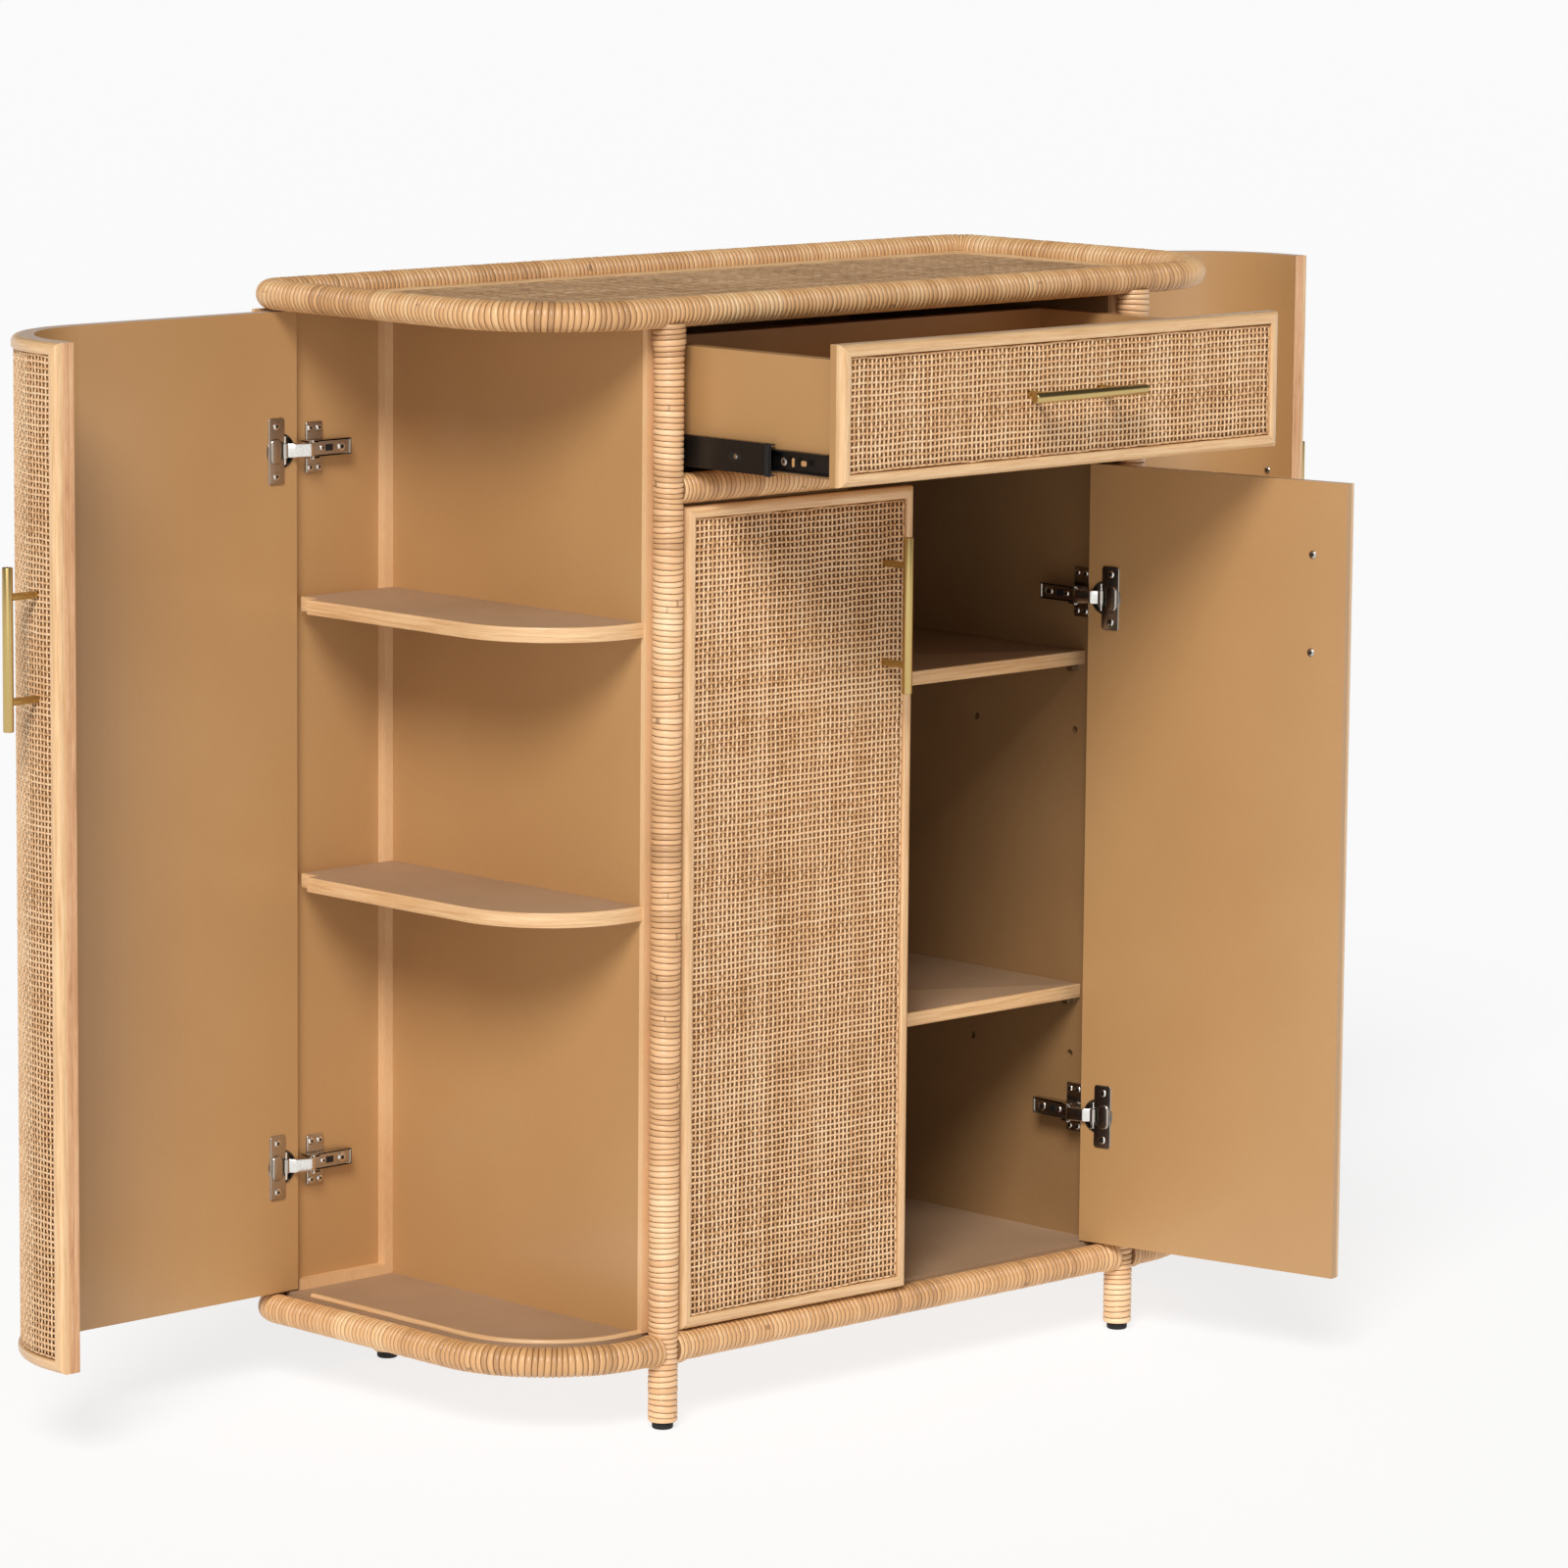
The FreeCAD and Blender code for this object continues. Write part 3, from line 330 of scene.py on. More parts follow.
def placed(points, body, side=-1):
    """Millimetres, left and shut, to the row frame in metres, at a body's rest pose."""
    out = np.array(points, float)
    out[:, 0] *= -side
    if body in ("drawer", "slide_middles"):
        out[:, 1] -= SHUT[body] / MM
    out[:, 1] += FRONT
    out *= MM
    if body.endswith("door"):
        joint = JOINTS[body]
        turn = math.radians(SHUT[body]) * joint["axis"][2]
        cos, sin = math.cos(turn), math.sin(turn)
        away = out[:, :2] - np.array(joint["pos_m"][:2])
        out[:, :2] = np.array(joint["pos_m"][:2]) + away @ np.array([[cos, sin], [-sin, cos]])
    return out


class Surfaces:
    """Gathers the surfaces of one piece: points, polygons, UVs and material numbers."""

    def __init__(self):
        self.points, self.loops, self.sizes, self.uvs, self.slots = [], [], [], [], []
        self.count = 0

    def put(self, points, polygons, uvs, slot=0):
        """Points (n, 3), polygons (f, k) of point numbers, UVs (f, k, 2)."""
        self.points.append(points)
        self.loops.append((polygons + self.count).ravel())
        self.sizes.append(np.full(len(polygons), polygons.shape[1]))
        self.uvs.append(np.broadcast_to(uvs, (*polygons.shape, 2)).reshape(-1, 2))
        self.slots.append(np.full(len(polygons), slot))
        self.count += len(points)

    def tube(self, rings, u=None, v=None, slot=0, cap_slot=None, looped=False, swap=False):
        """Skin over rings (n, m, 3), each joined to the next; ends closed by caps unless looped.

        u has a value for each ring and v one for each point of a ring and its return; swap
        stores them the other way round."""
        rows, columns = rings.shape[:2]
        u = np.arange(rows + 1.0) if u is None else u
        v = np.linspace(0, 1, columns + 1) if v is None else v
        last = rows if looped else rows - 1
        i, j = np.meshgrid(np.arange(last), np.arange(columns), indexing="ij")
        i, j = i.ravel(), j.ravel()
        below, right = (i + 1) % rows, (j + 1) % columns
        quads = np.stack([i * columns + j, i * columns + right, below * columns + right,
                          below * columns + j], 1)
        uvs = np.stack([[u[i], u[i], u[i + 1], u[i + 1]], [v[j], v[j + 1], v[j + 1], v[j]]]).T
        uvs = uvs[..., ::-1] if swap else uvs
        start = self.count
        self.put(rings.reshape(-1, 3), quads, uvs, slot)
        if not looped:
            for first in (0, (rows - 1) * columns):
                self.loops.append(np.arange(columns) + first + start)
                self.sizes.append(np.array([columns]))
                self.uvs.append(np.tile([u[0], 0.5], (columns, 1)))
                self.slots.append(np.array([slot if cap_slot is None else cap_slot]))

    def strips(self, points, across, out, half, crown, first_number, slot=0):
        """Closed strips of triangular section through points (s, n, 3): two edges and a crown."""
        strips, stations = points.shape[:2]
        half = half * rng.uniform(0.86, 1.12, (strips, 1, 1))
        ring = np.stack([points + across * half, points + out * crown, points - across * half], 2)
        s, k, c = np.meshgrid(np.arange(strips), np.arange(stations - 1), np.arange(3), indexing="ij")
        s, k, c = s.ravel(), k.ravel(), c.ravel()
        base, turn = (s * stations + k) * 3, (c + 1) % 3
        quads = np.stack([base + c, base + turn, base + 3 + turn, base + 3 + c], 1)
        travel = np.concatenate([np.zeros((strips, 1)), np.cumsum(np.linalg.norm(
            np.diff(points, axis=1), axis=2), axis=1)], axis=1)
        number = (first_number + s + 0.5)[:, None] * np.ones(4)
        travelled = np.stack([travel[s, k], travel[s, k], travel[s, k + 1], travel[s, k + 1]], 1)
        uvs = np.stack([number, travelled], 2)
        start = self.count
        self.put(ring.reshape(-1, 3), quads, uvs, slot)
        for station in (0, stations - 1):
            ends = (np.arange(strips) * stations + station)[:, None] * 3 + np.arange(3) + start
            self.loops.append(ends.ravel())
            self.sizes.append(np.full(strips, 3))
            middles = np.stack([first_number + np.arange(strips) + 0.5, np.zeros(strips)], 1)
            self.uvs.append(np.repeat(middles, 3, 0))
            self.slots.append(np.full(strips, slot))

    def mirrored(self):
        """These surfaces together with their mirror image in X."""
        both = Surfaces()
        both.points = self.points + [points * [-1, 1, 1] for points in self.points]
        both.loops = self.loops + [loops + self.count for loops in self.loops]
        both.sizes, both.uvs, both.slots = self.sizes * 2, self.uvs * 2, self.slots * 2
        return both

    def piece(self, name, body, slot, materials, replaces=(), side=-1, smooth=40.0):
        """Make the mesh object, point its faces outwards and give it to its body."""
        points = placed(np.concatenate(self.points), body, side)
        loops, sizes = np.concatenate(self.loops), np.concatenate(self.sizes)
        mesh = bpy.data.meshes.new(name)
        mesh.vertices.add(len(points))
        mesh.vertices.foreach_set("co", points.ravel())
        mesh.loops.add(len(loops))
        mesh.loops.foreach_set("vertex_index", loops)
        mesh.polygons.add(len(sizes))
        mesh.polygons.foreach_set("loop_start", np.concatenate([[0], np.cumsum(sizes)[:-1]]))
        mesh.polygons.foreach_set("material_index", np.concatenate(self.slots))
        mesh.update(calc_edges=True)
        mesh.uv_layers.new(name="UVMap").data.foreach_set("uv", np.concatenate(self.uvs).ravel())
        work = bmesh.new()
        work.from_mesh(mesh)
        bmesh.ops.recalc_face_normals(work, faces=work.faces)
        for face in work.faces:
            face.smooth = True
        work.to_mesh(mesh)
        work.free()
        mesh.set_sharp_from_angle(angle=math.radians(smooth))
        for material in materials:
            mesh.materials.append(material)
        made = bpy.data.objects.new(name, mesh)
        bpy.context.scene.collection.objects.link(made)
        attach(made, body)
        if replaces:
            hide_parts(*replaces)
        return made


# ------------------------------------------------------------------ routes and outlines


def route(corners, radii):
    """Straight runs joined by tangent arcs in plan: a function of distance, and the length.

    Each piece has a start, a heading and a curvature k; after a distance d its heading has
    turned by k d, and its place is the integral of that heading."""
    corners = [np.array(corner, float) for corner in corners]
    headings = [math.atan2(*(b - a)[::-1]) for a, b in zip(corners, corners[1:])]
    pieces, start = [], corners[0]
    for index, heading in enumerate(headings):
        way = np.array([math.cos(heading), math.sin(heading)])
        end, cut, turn, radius = corners[index + 1], 0.0, 0.0, 0.0
        if index < len(radii):
            turn = (headings[index + 1] - heading + math.pi) % (2 * math.pi) - math.pi
            radius = radii[index]
            cut = radius * abs(math.tan(turn / 2))
        pieces.append((float((end - way * cut - start) @ way), start, heading, 0.0))
        if radius:
            pieces.append((radius * abs(turn), end - way * cut, heading, math.copysign(1 / radius, turn)))
            after = headings[index + 1]
            start = end + np.array([math.cos(after), math.sin(after)]) * cut
    length = sum(piece[0] for piece in pieces)

    def at(distance):
        """Place (n, 2) and heading (n) after each distance."""
        distance = np.asarray(distance, float)
        places, turned = np.zeros((len(distance), 2)), np.zeros(len(distance))
        begun = 0.0
        for number, (long, origin, heading, bend) in enumerate(pieces):
            here = (distance >= begun) if number else np.full(len(distance), True)
            d = distance[here] - begun
            angle = heading + bend * d
            if bend:
                step = np.stack([np.sin(angle) - math.sin(heading),
                                 math.cos(heading) - np.cos(angle)], 1) / bend
            else:
                step = d[:, None] * [math.cos(heading), math.sin(heading)]
            places[here], turned[here] = origin + step, angle
            begun += long
        return places, turned

    return at, length


def rounded_rectangle(wide, tall, radius, inset=0.0, steps=4):
    """Outline (m, 2) of a rectangle with round corners, centred, moved in by inset."""
    radius = max(radius - inset, 0.05)
    wide, tall = wide / 2 - inset - radius, tall / 2 - inset - radius
    angles = np.linspace(0, math.pi / 2, steps + 1)
    corners = [(1, 1, 0), (-1, 1, 1), (-1, -1, 2), (1, -1, 3)]
    return np.concatenate([np.stack([sx * wide + radius * np.cos(angles + q * math.pi / 2),
                                     sy * tall + radius * np.sin(angles + q * math.pi / 2)], 1)
                           for sx, sy, q in corners])


def pad(wide, tall, radius, middle=(0.0, 0.0)):
    """A rounded rectangle about a middle, as a function of inset."""
    return lambda inset: rounded_rectangle(wide, tall, radius, inset) + middle


def walk_round(outline):
    """Distance walked at each point of a closed outline, and once round."""
    steps = np.linalg.norm(np.roll(outline, -1, 0) - outline, axis=1)
    return np.concatenate([[0], np.cumsum(steps)])


def rounded_edge(low, high, edge, steps=3):
    """Pairs (inset, height) up the side of a plate with both its edges rounded."""
    angles = np.linspace(0, math.pi / 2, steps + 1)
    lower = [(edge * (1 - math.sin(a)), low + edge * (1 - math.cos(a))) for a in angles]
    upper = [(edge * (1 - math.cos(a)), high - edge * (1 - math.sin(a))) for a in angles]
    return lower + upper


def plate(surfaces, outline, low, high, edge, place, slot=0, cap_slot=None):
    """A plate from an outline, a function of inset, with rounded edges; place maps (p, q, h) to space."""
    rings = []
    for inset, height in rounded_edge(low, high, edge):
        flat = outline(inset)
        rings.append(place(np.column_stack([flat, np.full(len(flat), height)])))
    rings = np.array(rings)
    climb = np.array([height for _, height in rounded_edge(low, high, edge)] + [high])
    surfaces.tube(rings, u=climb, v=walk_round(rings[0]), slot=slot, cap_slot=cap_slot, swap=True)


def turned_piece(surfaces, origin, axis, profile, steps=20, slot=0):
    """A body of revolution: profile is (distance along the axis, radius) from one end to the other."""
    axis = np.array(axis, float) / np.linalg.norm(axis)
    side = np.cross(axis, [0.0, 0.0, 1.0] if abs(axis[2]) < 0.9 else [1.0, 0.0, 0.0])
    side /= np.linalg.norm(side)
    other = np.cross(axis, side)
    angles = np.linspace(0, 2 * math.pi, steps, endpoint=False)
    around = np.cos(angles)[:, None] * side + np.sin(angles)[:, None] * other
    profile = np.array(profile, float)
    rings = np.array(origin) + profile[:, 0, None, None] * axis + profile[:, 1, None, None] * around
    surfaces.tube(rings, slot=slot)


def half_round(wide, tall, foot, shoulder):
    """Section (inset, height) of a bead: a foot, straight sides up to a shoulder and half an ellipse."""
    angles = np.linspace(0, math.pi, 8)
    arch = np.stack([wide / 2 * (1 - np.cos(angles)), tall * (shoulder + (1 - shoulder) * np.sin(angles))], 1)
    return np.vstack([(0.0, foot), arch, (wide, foot)])


def along(corners, radii, section, z, count, looped=False):
    """Rings of a section (inset, height) carried along a route in plan at height z, and their distances."""
    line, length = route(corners, radii)
    stations = np.linspace(0, length, count)
    spots, turned = line(stations[:-1] if looped else stations)
    inwards = np.stack([-np.sin(turned), np.cos(turned)], 1)
    rings = np.empty((len(spots), len(section), 3))
    rings[:, :, :2] = spots[:, None] + inwards[:, None] * section[None, :, :1]
    rings[:, :, 2] = z + section[:, 1]
    return rings, stations if looped else np.append(stations, length)


def inside_rim(inset):
    """Corners and bends of the closed outline that runs inside the rim, inset from its centre line."""
    outer, back, bend = RIM_X - inset, RIM_Y - inset, BEND_R - inset
    corners = [(0, back), (-outer, back), (-outer, inset), (outer, inset), (outer, back), (0, back)]
    return corners, [2.0, bend, bend, 2.0]


# ------------------------------------------------------------------ wound poles


def wound(name, places, length, replaces, first_turn=0, collars=(0, 0)):
    """A pole wound with rattan peel. places(s) gives its centre line in plan or height.

    The radius is the pole's less a groove, the fourth power of the distance from a turn's
    middle; turns differ a little in width, height and slant."""
    turns = max(3, round(length / TURN_WIDE))
    widths = rng.uniform(0.86, 1.14, turns)
    bounds = np.concatenate([[0], np.cumsum(widths)]) * length / widths.sum()
    shares = np.array([0.0, 0.07, 0.25, 0.5, 0.75, 0.93])
    rows = (bounds[:-1, None] + np.diff(bounds)[:, None] * shares).ravel()
    number = (np.arange(turns)[:, None] + shares).ravel()
    rows, number = np.append(rows, length), np.append(number, turns - 1e-3)
    depth = GROOVE_DEEP * (2 * np.abs(number % 1 - 0.5)) ** 4
    swell = np.repeat(rng.uniform(-0.28, 0.0, turns), len(shares))
    swell = np.append(swell, swell[-1])
    for at_end, tall in zip((number, turns - number), collars):
        swell = swell + COLLAR_SWELL * np.clip(tall - at_end, 0, 1) * (tall > 0)
    radius = POLE_R - depth + swell
    columns = 30
    angles = np.linspace(0, 2 * math.pi, columns, endpoint=False)
    knots = np.arange(0, turns + 8, 7)
    slant = np.interp(number, knots, rng.uniform(0, 2 * math.pi, len(knots)))
    fade = np.clip(np.minimum(rows, length - rows) / 8, 0, 1)
    shift = rows[:, None] + (0.8 * fade)[:, None] * np.cos(angles - slant[:, None])
    centre, side, up = places(shift.ravel())
    spread = (np.cos(angles) * np.ones_like(shift)).ravel()[:, None]
    lift = (np.sin(angles) * np.ones_like(shift)).ravel()[:, None]
    around = radius.repeat(columns)[:, None]
    rings = (centre + around * (spread * side + lift * up)).reshape(len(rows), columns, 3)
    surfaces = Surfaces()
    surfaces.tube(rings, u=np.append(number, number[-1]) + first_turn, v=np.linspace(0, 1, columns + 1))
    # the posts wear the paler copy of the peel: painted light
    peel = LIT_RATTAN if name.endswith("post") else RATTAN
    return surfaces.piece(name, "cabinet", "rattan", [peel], replaces, smooth=75)


def level(line, z):
    """Centre, side and up of a level pole along a route at a height."""
    def places(s):
        spots, turned = line(s)
        centre = np.column_stack([spots, np.full(len(spots), z)])
        side = np.column_stack([np.sin(turned), -np.cos(turned), np.zeros(len(spots))])
        return centre, side, np.tile([0.0, 0.0, 1.0], (len(spots), 1))
    return places


def upright(x, y, low):
    """Centre, side and up of a post."""
    def places(s):
        centre = np.column_stack([np.full(len(s), x), np.full(len(s), y), low + s])
        return centre, np.tile([1.0, 0.0, 0.0], (len(s), 1)), np.tile([0.0, 1.0, 0.0], (len(s), 1))
    return places


def make_poles():
    """Every pole of the frame, numbered apart so that no two share their turns' tones."""
    tuck = POLE_R - 5
    corners = [(-RIM_X + BACK_BEND_R, RIM_Y), (-RIM_X, RIM_Y), (-RIM_X, 0), (RIM_X, 0), (RIM_X, RIM_Y),
               (RIM_X - BACK_BEND_R, RIM_Y)]
    line, length = route(corners, [BACK_BEND_R, BEND_R, BEND_R, BACK_BEND_R])
    wound("wound_top_rim", level(line, TOP_Z), length, ["top_rim"])
    first = 400
    for where, side in (("left", -1), ("right", 1)):
        corners = [(side * (RIM_X - BACK_BEND_R), RIM_Y), (side * RIM_X, RIM_Y), (side * RIM_X, 0),
                   (side * (POST_X + tuck), 0)]
        line, length = route(corners, [BACK_BEND_R, BEND_R])
        wound(f"wound_{where}_floor_rim", level(line, FLOOR_Z), length, [f"{where}_floor_rim"], first,
              (0, 3))
        first += 200
        for depth, y in (("front", 0.0), ("rear", RIM_Y)):
            top = TOP_Z - tuck
            wound(f"wound_{where}_{depth}_post", upright(side * POST_X, y, FOOT_TALL), top - FOOT_TALL,
                  [f"{where}_{depth}_post"], first, (0, 5))
            first += 200
    rails = [("floor_front_rail", POST_X - tuck, 0.0, FLOOR_Z, (3, 3)),
             ("middle_rail", POST_X - tuck, 0.0, MIDDLE_Z, (0, 0)),
             ("floor_back_rail", RIM_X - BACK_BEND_R, RIM_Y, FLOOR_Z, (0, 0)),
             ("top_back_rail", RIM_X - BACK_BEND_R, RIM_Y, TOP_Z, (0, 0))]
    for node, half, y, z, collars in rails:
        line, length = route([(-half, y), (half, y)], [])
        wound(f"wound_{node}", level(line, z), length, [node], first, collars)
        first += 200


# ------------------------------------------------------------------ door faces: u along, z up, h outwards


def flat_face(left, right):
    """The outer face of a flat front between two places across the cabinet."""
    return route([(left, FACE_Y), (right, FACE_Y)], [])


def end_face():
    """The outer face of the left end door, from its hinge edge round the corner to its free edge."""
    outer = RIM_X - FACE_Y
    return route([(-outer, END_DOOR["edge_y"]), (-outer, FACE_Y), (-END_DOOR["free_x"], FACE_Y)],
                 [BEND_R - FACE_Y])


def on_face(line, u, z, h):
    """Points at distance u along a face, height z and h outwards from it."""
    spots, turned = line(u)
    outwards = np.stack([np.sin(turned), -np.cos(turned)], 1)
    return np.column_stack([spots + outwards * np.asarray(h)[:, None], z])


def weave(name, body, side, face, z_low, z_high, replaces):
    """Open plain weave: strips both ways, each over and under the next by turns, on a dark sheet of painted
    shade.

    A strip's height is the weave's plane plus or minus a wave whose sign alternates from one
    crossing to the next."""
    line, length = face
    u_low, u_high = FRAME_W - 1, length - FRAME_W + 1
    z_low, z_high = z_low + FRAME_W - 1, z_high - FRAME_W + 1
    across_count = round((u_high - u_low) / CANE_PITCH_U)
    up_count = round((z_high - z_low) / CANE_PITCH_V)
    u = u_low + (np.arange(across_count) + 0.5) * (u_high - u_low) / across_count
    z = z_low + (np.arange(up_count) + 0.5) * (z_high - z_low) / up_count
    sign = (-1.0) ** (np.arange(across_count)[:, None] + np.arange(up_count))
    drift_u = 0.75 * smooth_noise(across_count, up_count)
    drift_z = 0.75 * smooth_noise(across_count, up_count)
    grid_u = u[:, None] + drift_u
    grid_z = z[None, :] + drift_z
    surfaces = Surfaces()
    rising = np.array([0.0, 0.0, 1.0])
    for way in (0, 1):
        height = CANE_PLANE + CANE_WAVE * (sign if way == 0 else -sign)
        points = on_face(line, grid_u.ravel(), grid_z.ravel(), height.ravel())
        points = points.reshape(across_count, up_count, 3)
        turned = line(grid_u.ravel())[1].reshape(across_count, up_count)
        outwards = np.stack([np.sin(turned), -np.cos(turned), 0 * turned], 2)
        forwards = np.stack([np.cos(turned), np.sin(turned), 0 * turned], 2)
        if way == 0:
            surfaces.strips(points, forwards, outwards, 1.5, CANE_CROWN, 0)
        else:
            surfaces.strips(points.swapaxes(0, 1), np.broadcast_to(rising, points.swapaxes(0, 1).shape),
                            outwards.swapaxes(0, 1), 1.3, CANE_CROWN, across_count)
    # a dark sheet behind the strips: painted shade for the holes of the webbing
    stations = np.linspace(u_low, u_high, 60)
    ground = np.stack([on_face(line, stations, np.full(len(stations), zz), np.full(len(stations), hh))
                       for zz, hh in ((z_low, -4.4), (z_high, -4.4), (z_high, -4.15), (z_low, -4.15))], 1)
    surfaces.tube(ground, slot=1)
    return surfaces.piece(name, body, "cane", [CANE, CANE_SHADE_GROUND], replaces, side, smooth=180)


def smooth_noise(rows, columns):
    """Gentle random drift from -1 to 1 over a grid, by spreading a coarse random grid."""
    coarse = rng.uniform(-1, 1, (rows // 3 + 2, columns // 3 + 2))
    r, c = np.linspace(0, coarse.shape[0] - 1.001, rows), np.linspace(0, coarse.shape[1] - 1.001, columns)
    r0, c0 = r.astype(int), c.astype(int)
    fr, fc = (r - r0)[:, None], (c - c0)[None, :]
    a, b = coarse[np.ix_(r0, c0)], coarse[np.ix_(r0, c0 + 1)]
    d, e = coarse[np.ix_(r0 + 1, c0)], coarse[np.ix_(r0 + 1, c0 + 1)]
    return (a * (1 - fc) + b * fc) * (1 - fr) + (d * (1 - fc) + e * fc) * fr


def frame_profile():
    """Section (inset, height) of the trim: outer edge rounded 6, inner edge 1.5, back flat."""
    angles = np.linspace(0, math.pi / 2, 7)
    outer = [(FRAME_ROUND * (1 - math.cos(a)), -FRAME_ROUND * (1 - math.sin(a))) for a in angles]
    small = 1.5
    inner = [(FRAME_W - small * (1 - math.sin(a)), -small * (1 - math.cos(a)))
             for a in np.linspace(0, math.pi / 2, 4)]
    return np.array([(0.0, -FRAME_T)] + outer + inner + [(FRAME_W, -FRAME_T)])


def trim_frame(name, body, side, face, z_low, z_high, replaces):
    """Four mitred members: the trim's section carried along each side of a rectangle on the face."""
    line, length = face
    section = frame_profile()
    inset, height = section[:, 0], section[:, 1]
    walk = walk_round(section)
    surfaces = Surfaces()
    stations = np.unique(np.concatenate([[0.0, length], np.linspace(FRAME_W, length - FRAME_W, 40)]))
    for z, way in ((z_low, 1), (z_high, -1)):
        rings = []
        for u in stations:
            mitred = inset if u == 0.0 else length - inset if u == length else np.full(len(inset), u)
            rings.append(on_face(line, mitred, z + way * inset, height))
        surfaces.tube(np.array(rings), u=np.append(stations, length) + 40 * z, v=walk + z)
    for u, way in ((0.0, 1), (length, -1)):
        rings = [on_face(line, u + way * inset, end + turn * inset, height)
                 for end, turn in ((z_low, 1), (z_high, -1))]
        surfaces.tube(np.array(rings), u=np.array([z_low, z_high, z_high]) + 31 * u, v=walk + 57 + u)
    surfaces.piece(name, body, "trim_wood", [TRIM], replaces, side, smooth=50)


def edge_band(body, side, face, sizes):
    """Two layers of solid wood glued to the free edge of a curved door's board."""
    line, length = face
    surfaces = Surfaces()
    z_low, z_high = sizes["z"] + 0.2, sizes["z"] + sizes["tall"] - 0.2
    middle = (FRAME_T + sizes["thick"]) / 2
    for number, (near, far) in enumerate(((FRAME_T + 0.1, middle), (middle + 0.15, sizes["thick"]))):
        section = rounded_rectangle(1.8, far - near, 0.5) + [length - 0.3, -(near + far) / 2]
        rings = np.array([on_face(line, section[:, 0], np.full(len(section), z), section[:, 1])
                          for z in (z_low, z_high)])
        walk = np.linspace(0, 2 * (far - near), len(section) + 1) + 31 * number
        surfaces.tube(rings, u=np.array([z_low, z_high, z_high]), v=walk)
    surfaces.piece(f"{body}_edge_band", body, "trim_wood", [EDGE], side=side, smooth=50)


def bar_handle(name, body, side, line, u, z, along_z, thick, replaces):
    """A round bar with chamfered ends on two legs, and the screw heads behind the board."""
    surfaces = Surfaces()
    outwards = np.array([0.0, -1.0, 0.0])
    base = np.array([line([u])[0][0, 0], FACE_Y, z])
    run = np.array([0.0, 0.0, 1.0]) if along_z else np.array([1.0, 0.0, 0.0])
    half, chamfer = BAR_LONG / 2, 0.7
    turned_piece(surfaces, base + outwards * STAND_OFF, run, [
        (-half, BAR_R - chamfer), (-half + chamfer * 0.4, BAR_R - chamfer * 0.3), (-half + chamfer, BAR_R),
        (half - chamfer, BAR_R), (half - chamfer * 0.4, BAR_R - chamfer * 0.3), (half, BAR_R - chamfer)], 32)
    for way in (-1, 1):
        foot = base + run * way * LEG_PITCH / 2
        turned_piece(surfaces, foot, outwards, [
            (-5.8, LEG_R), (-2.6, LEG_R), (STAND_OFF - BAR_R - 1, LEG_R),
            (STAND_OFF - BAR_R + 1.5, LEG_R + 0.3), (STAND_OFF - 3, LEG_R)], 20)
        screw_head(surfaces, foot - outwards * thick, -outwards, 4.0, 1.6, slot=1)
    return surfaces.piece(name, body, "brass", [BRASS, NICKEL, RECESS], replaces, side, smooth=35)


def screw_head(surfaces, origin, axis, radius, tall, slot=0):
    """A domed screw head with a small dark disc on top, painted shade for its cross drive, which is material
    2.
    """
    turned_piece(surfaces, origin, axis, [
        (-0.5, radius * 0.9), (0.0, radius), (tall * 0.4, radius), (tall * 0.8, radius * 0.86),
        (tall, radius * 0.6), (tall, 0.05)], 18, slot)
    turned_piece(surfaces, origin, axis, [(tall - 0.2, radius * 0.44), (tall + 0.06, radius * 0.44),
                                          (tall + 0.06, 0.05)], 12, 2)


def make_doors():
    """Webbing, trim and handle of the four doors and the drawer front, on their own bodies."""
    front = flat_face(-FRONT_DOOR["edge_x"], -FRONT_DOOR["free_x"])
    end = end_face()
    for where, side in (("left", -1), ("right", 1)):
        for kind, sizes, face in (("front", FRONT_DOOR, front), ("end", END_DOOR, end)):
            body = f"{where}_{kind}_door"
            z_low, z_high = sizes["z"], sizes["z"] + sizes["tall"]
            weave(f"{body}_webbing", body, side, face, z_low, z_high, [f"{body}_cane"])
            trim_frame(f"{body}_trim", body, side, face, z_low, z_high, [f"{body}_frame"])
            if kind == "end":
                edge_band(body, side, face, sizes)
            grip = sizes["thick"] + (1 if kind == "end" else 0)
            bar_handle(f"{body}_bar_handle", body, side, face[0], face[1] - BAR_IN[kind], BAR_Z[kind], True,
                       grip, [f"{body}_handle"])
    face = flat_face(-FRONT_DOOR["edge_x"], FRONT_DOOR["edge_x"])
    z_low, z_high = DRAWER["z"], DRAWER["z"] + DRAWER["tall"]
    weave("drawer_webbing", "drawer", -1, face, z_low, z_high, ["drawer_front_cane"])
    trim_frame("drawer_trim", "drawer", -1, face, z_low, z_high, ["drawer_front_frame"])
    bar_handle("drawer_bar_handle", "drawer", -1, face[0], face[1] / 2, BAR_Z["drawer"], False,
               DRAWER["thick"], ["drawer_handle"])


# ------------------------------------------------------------------ top


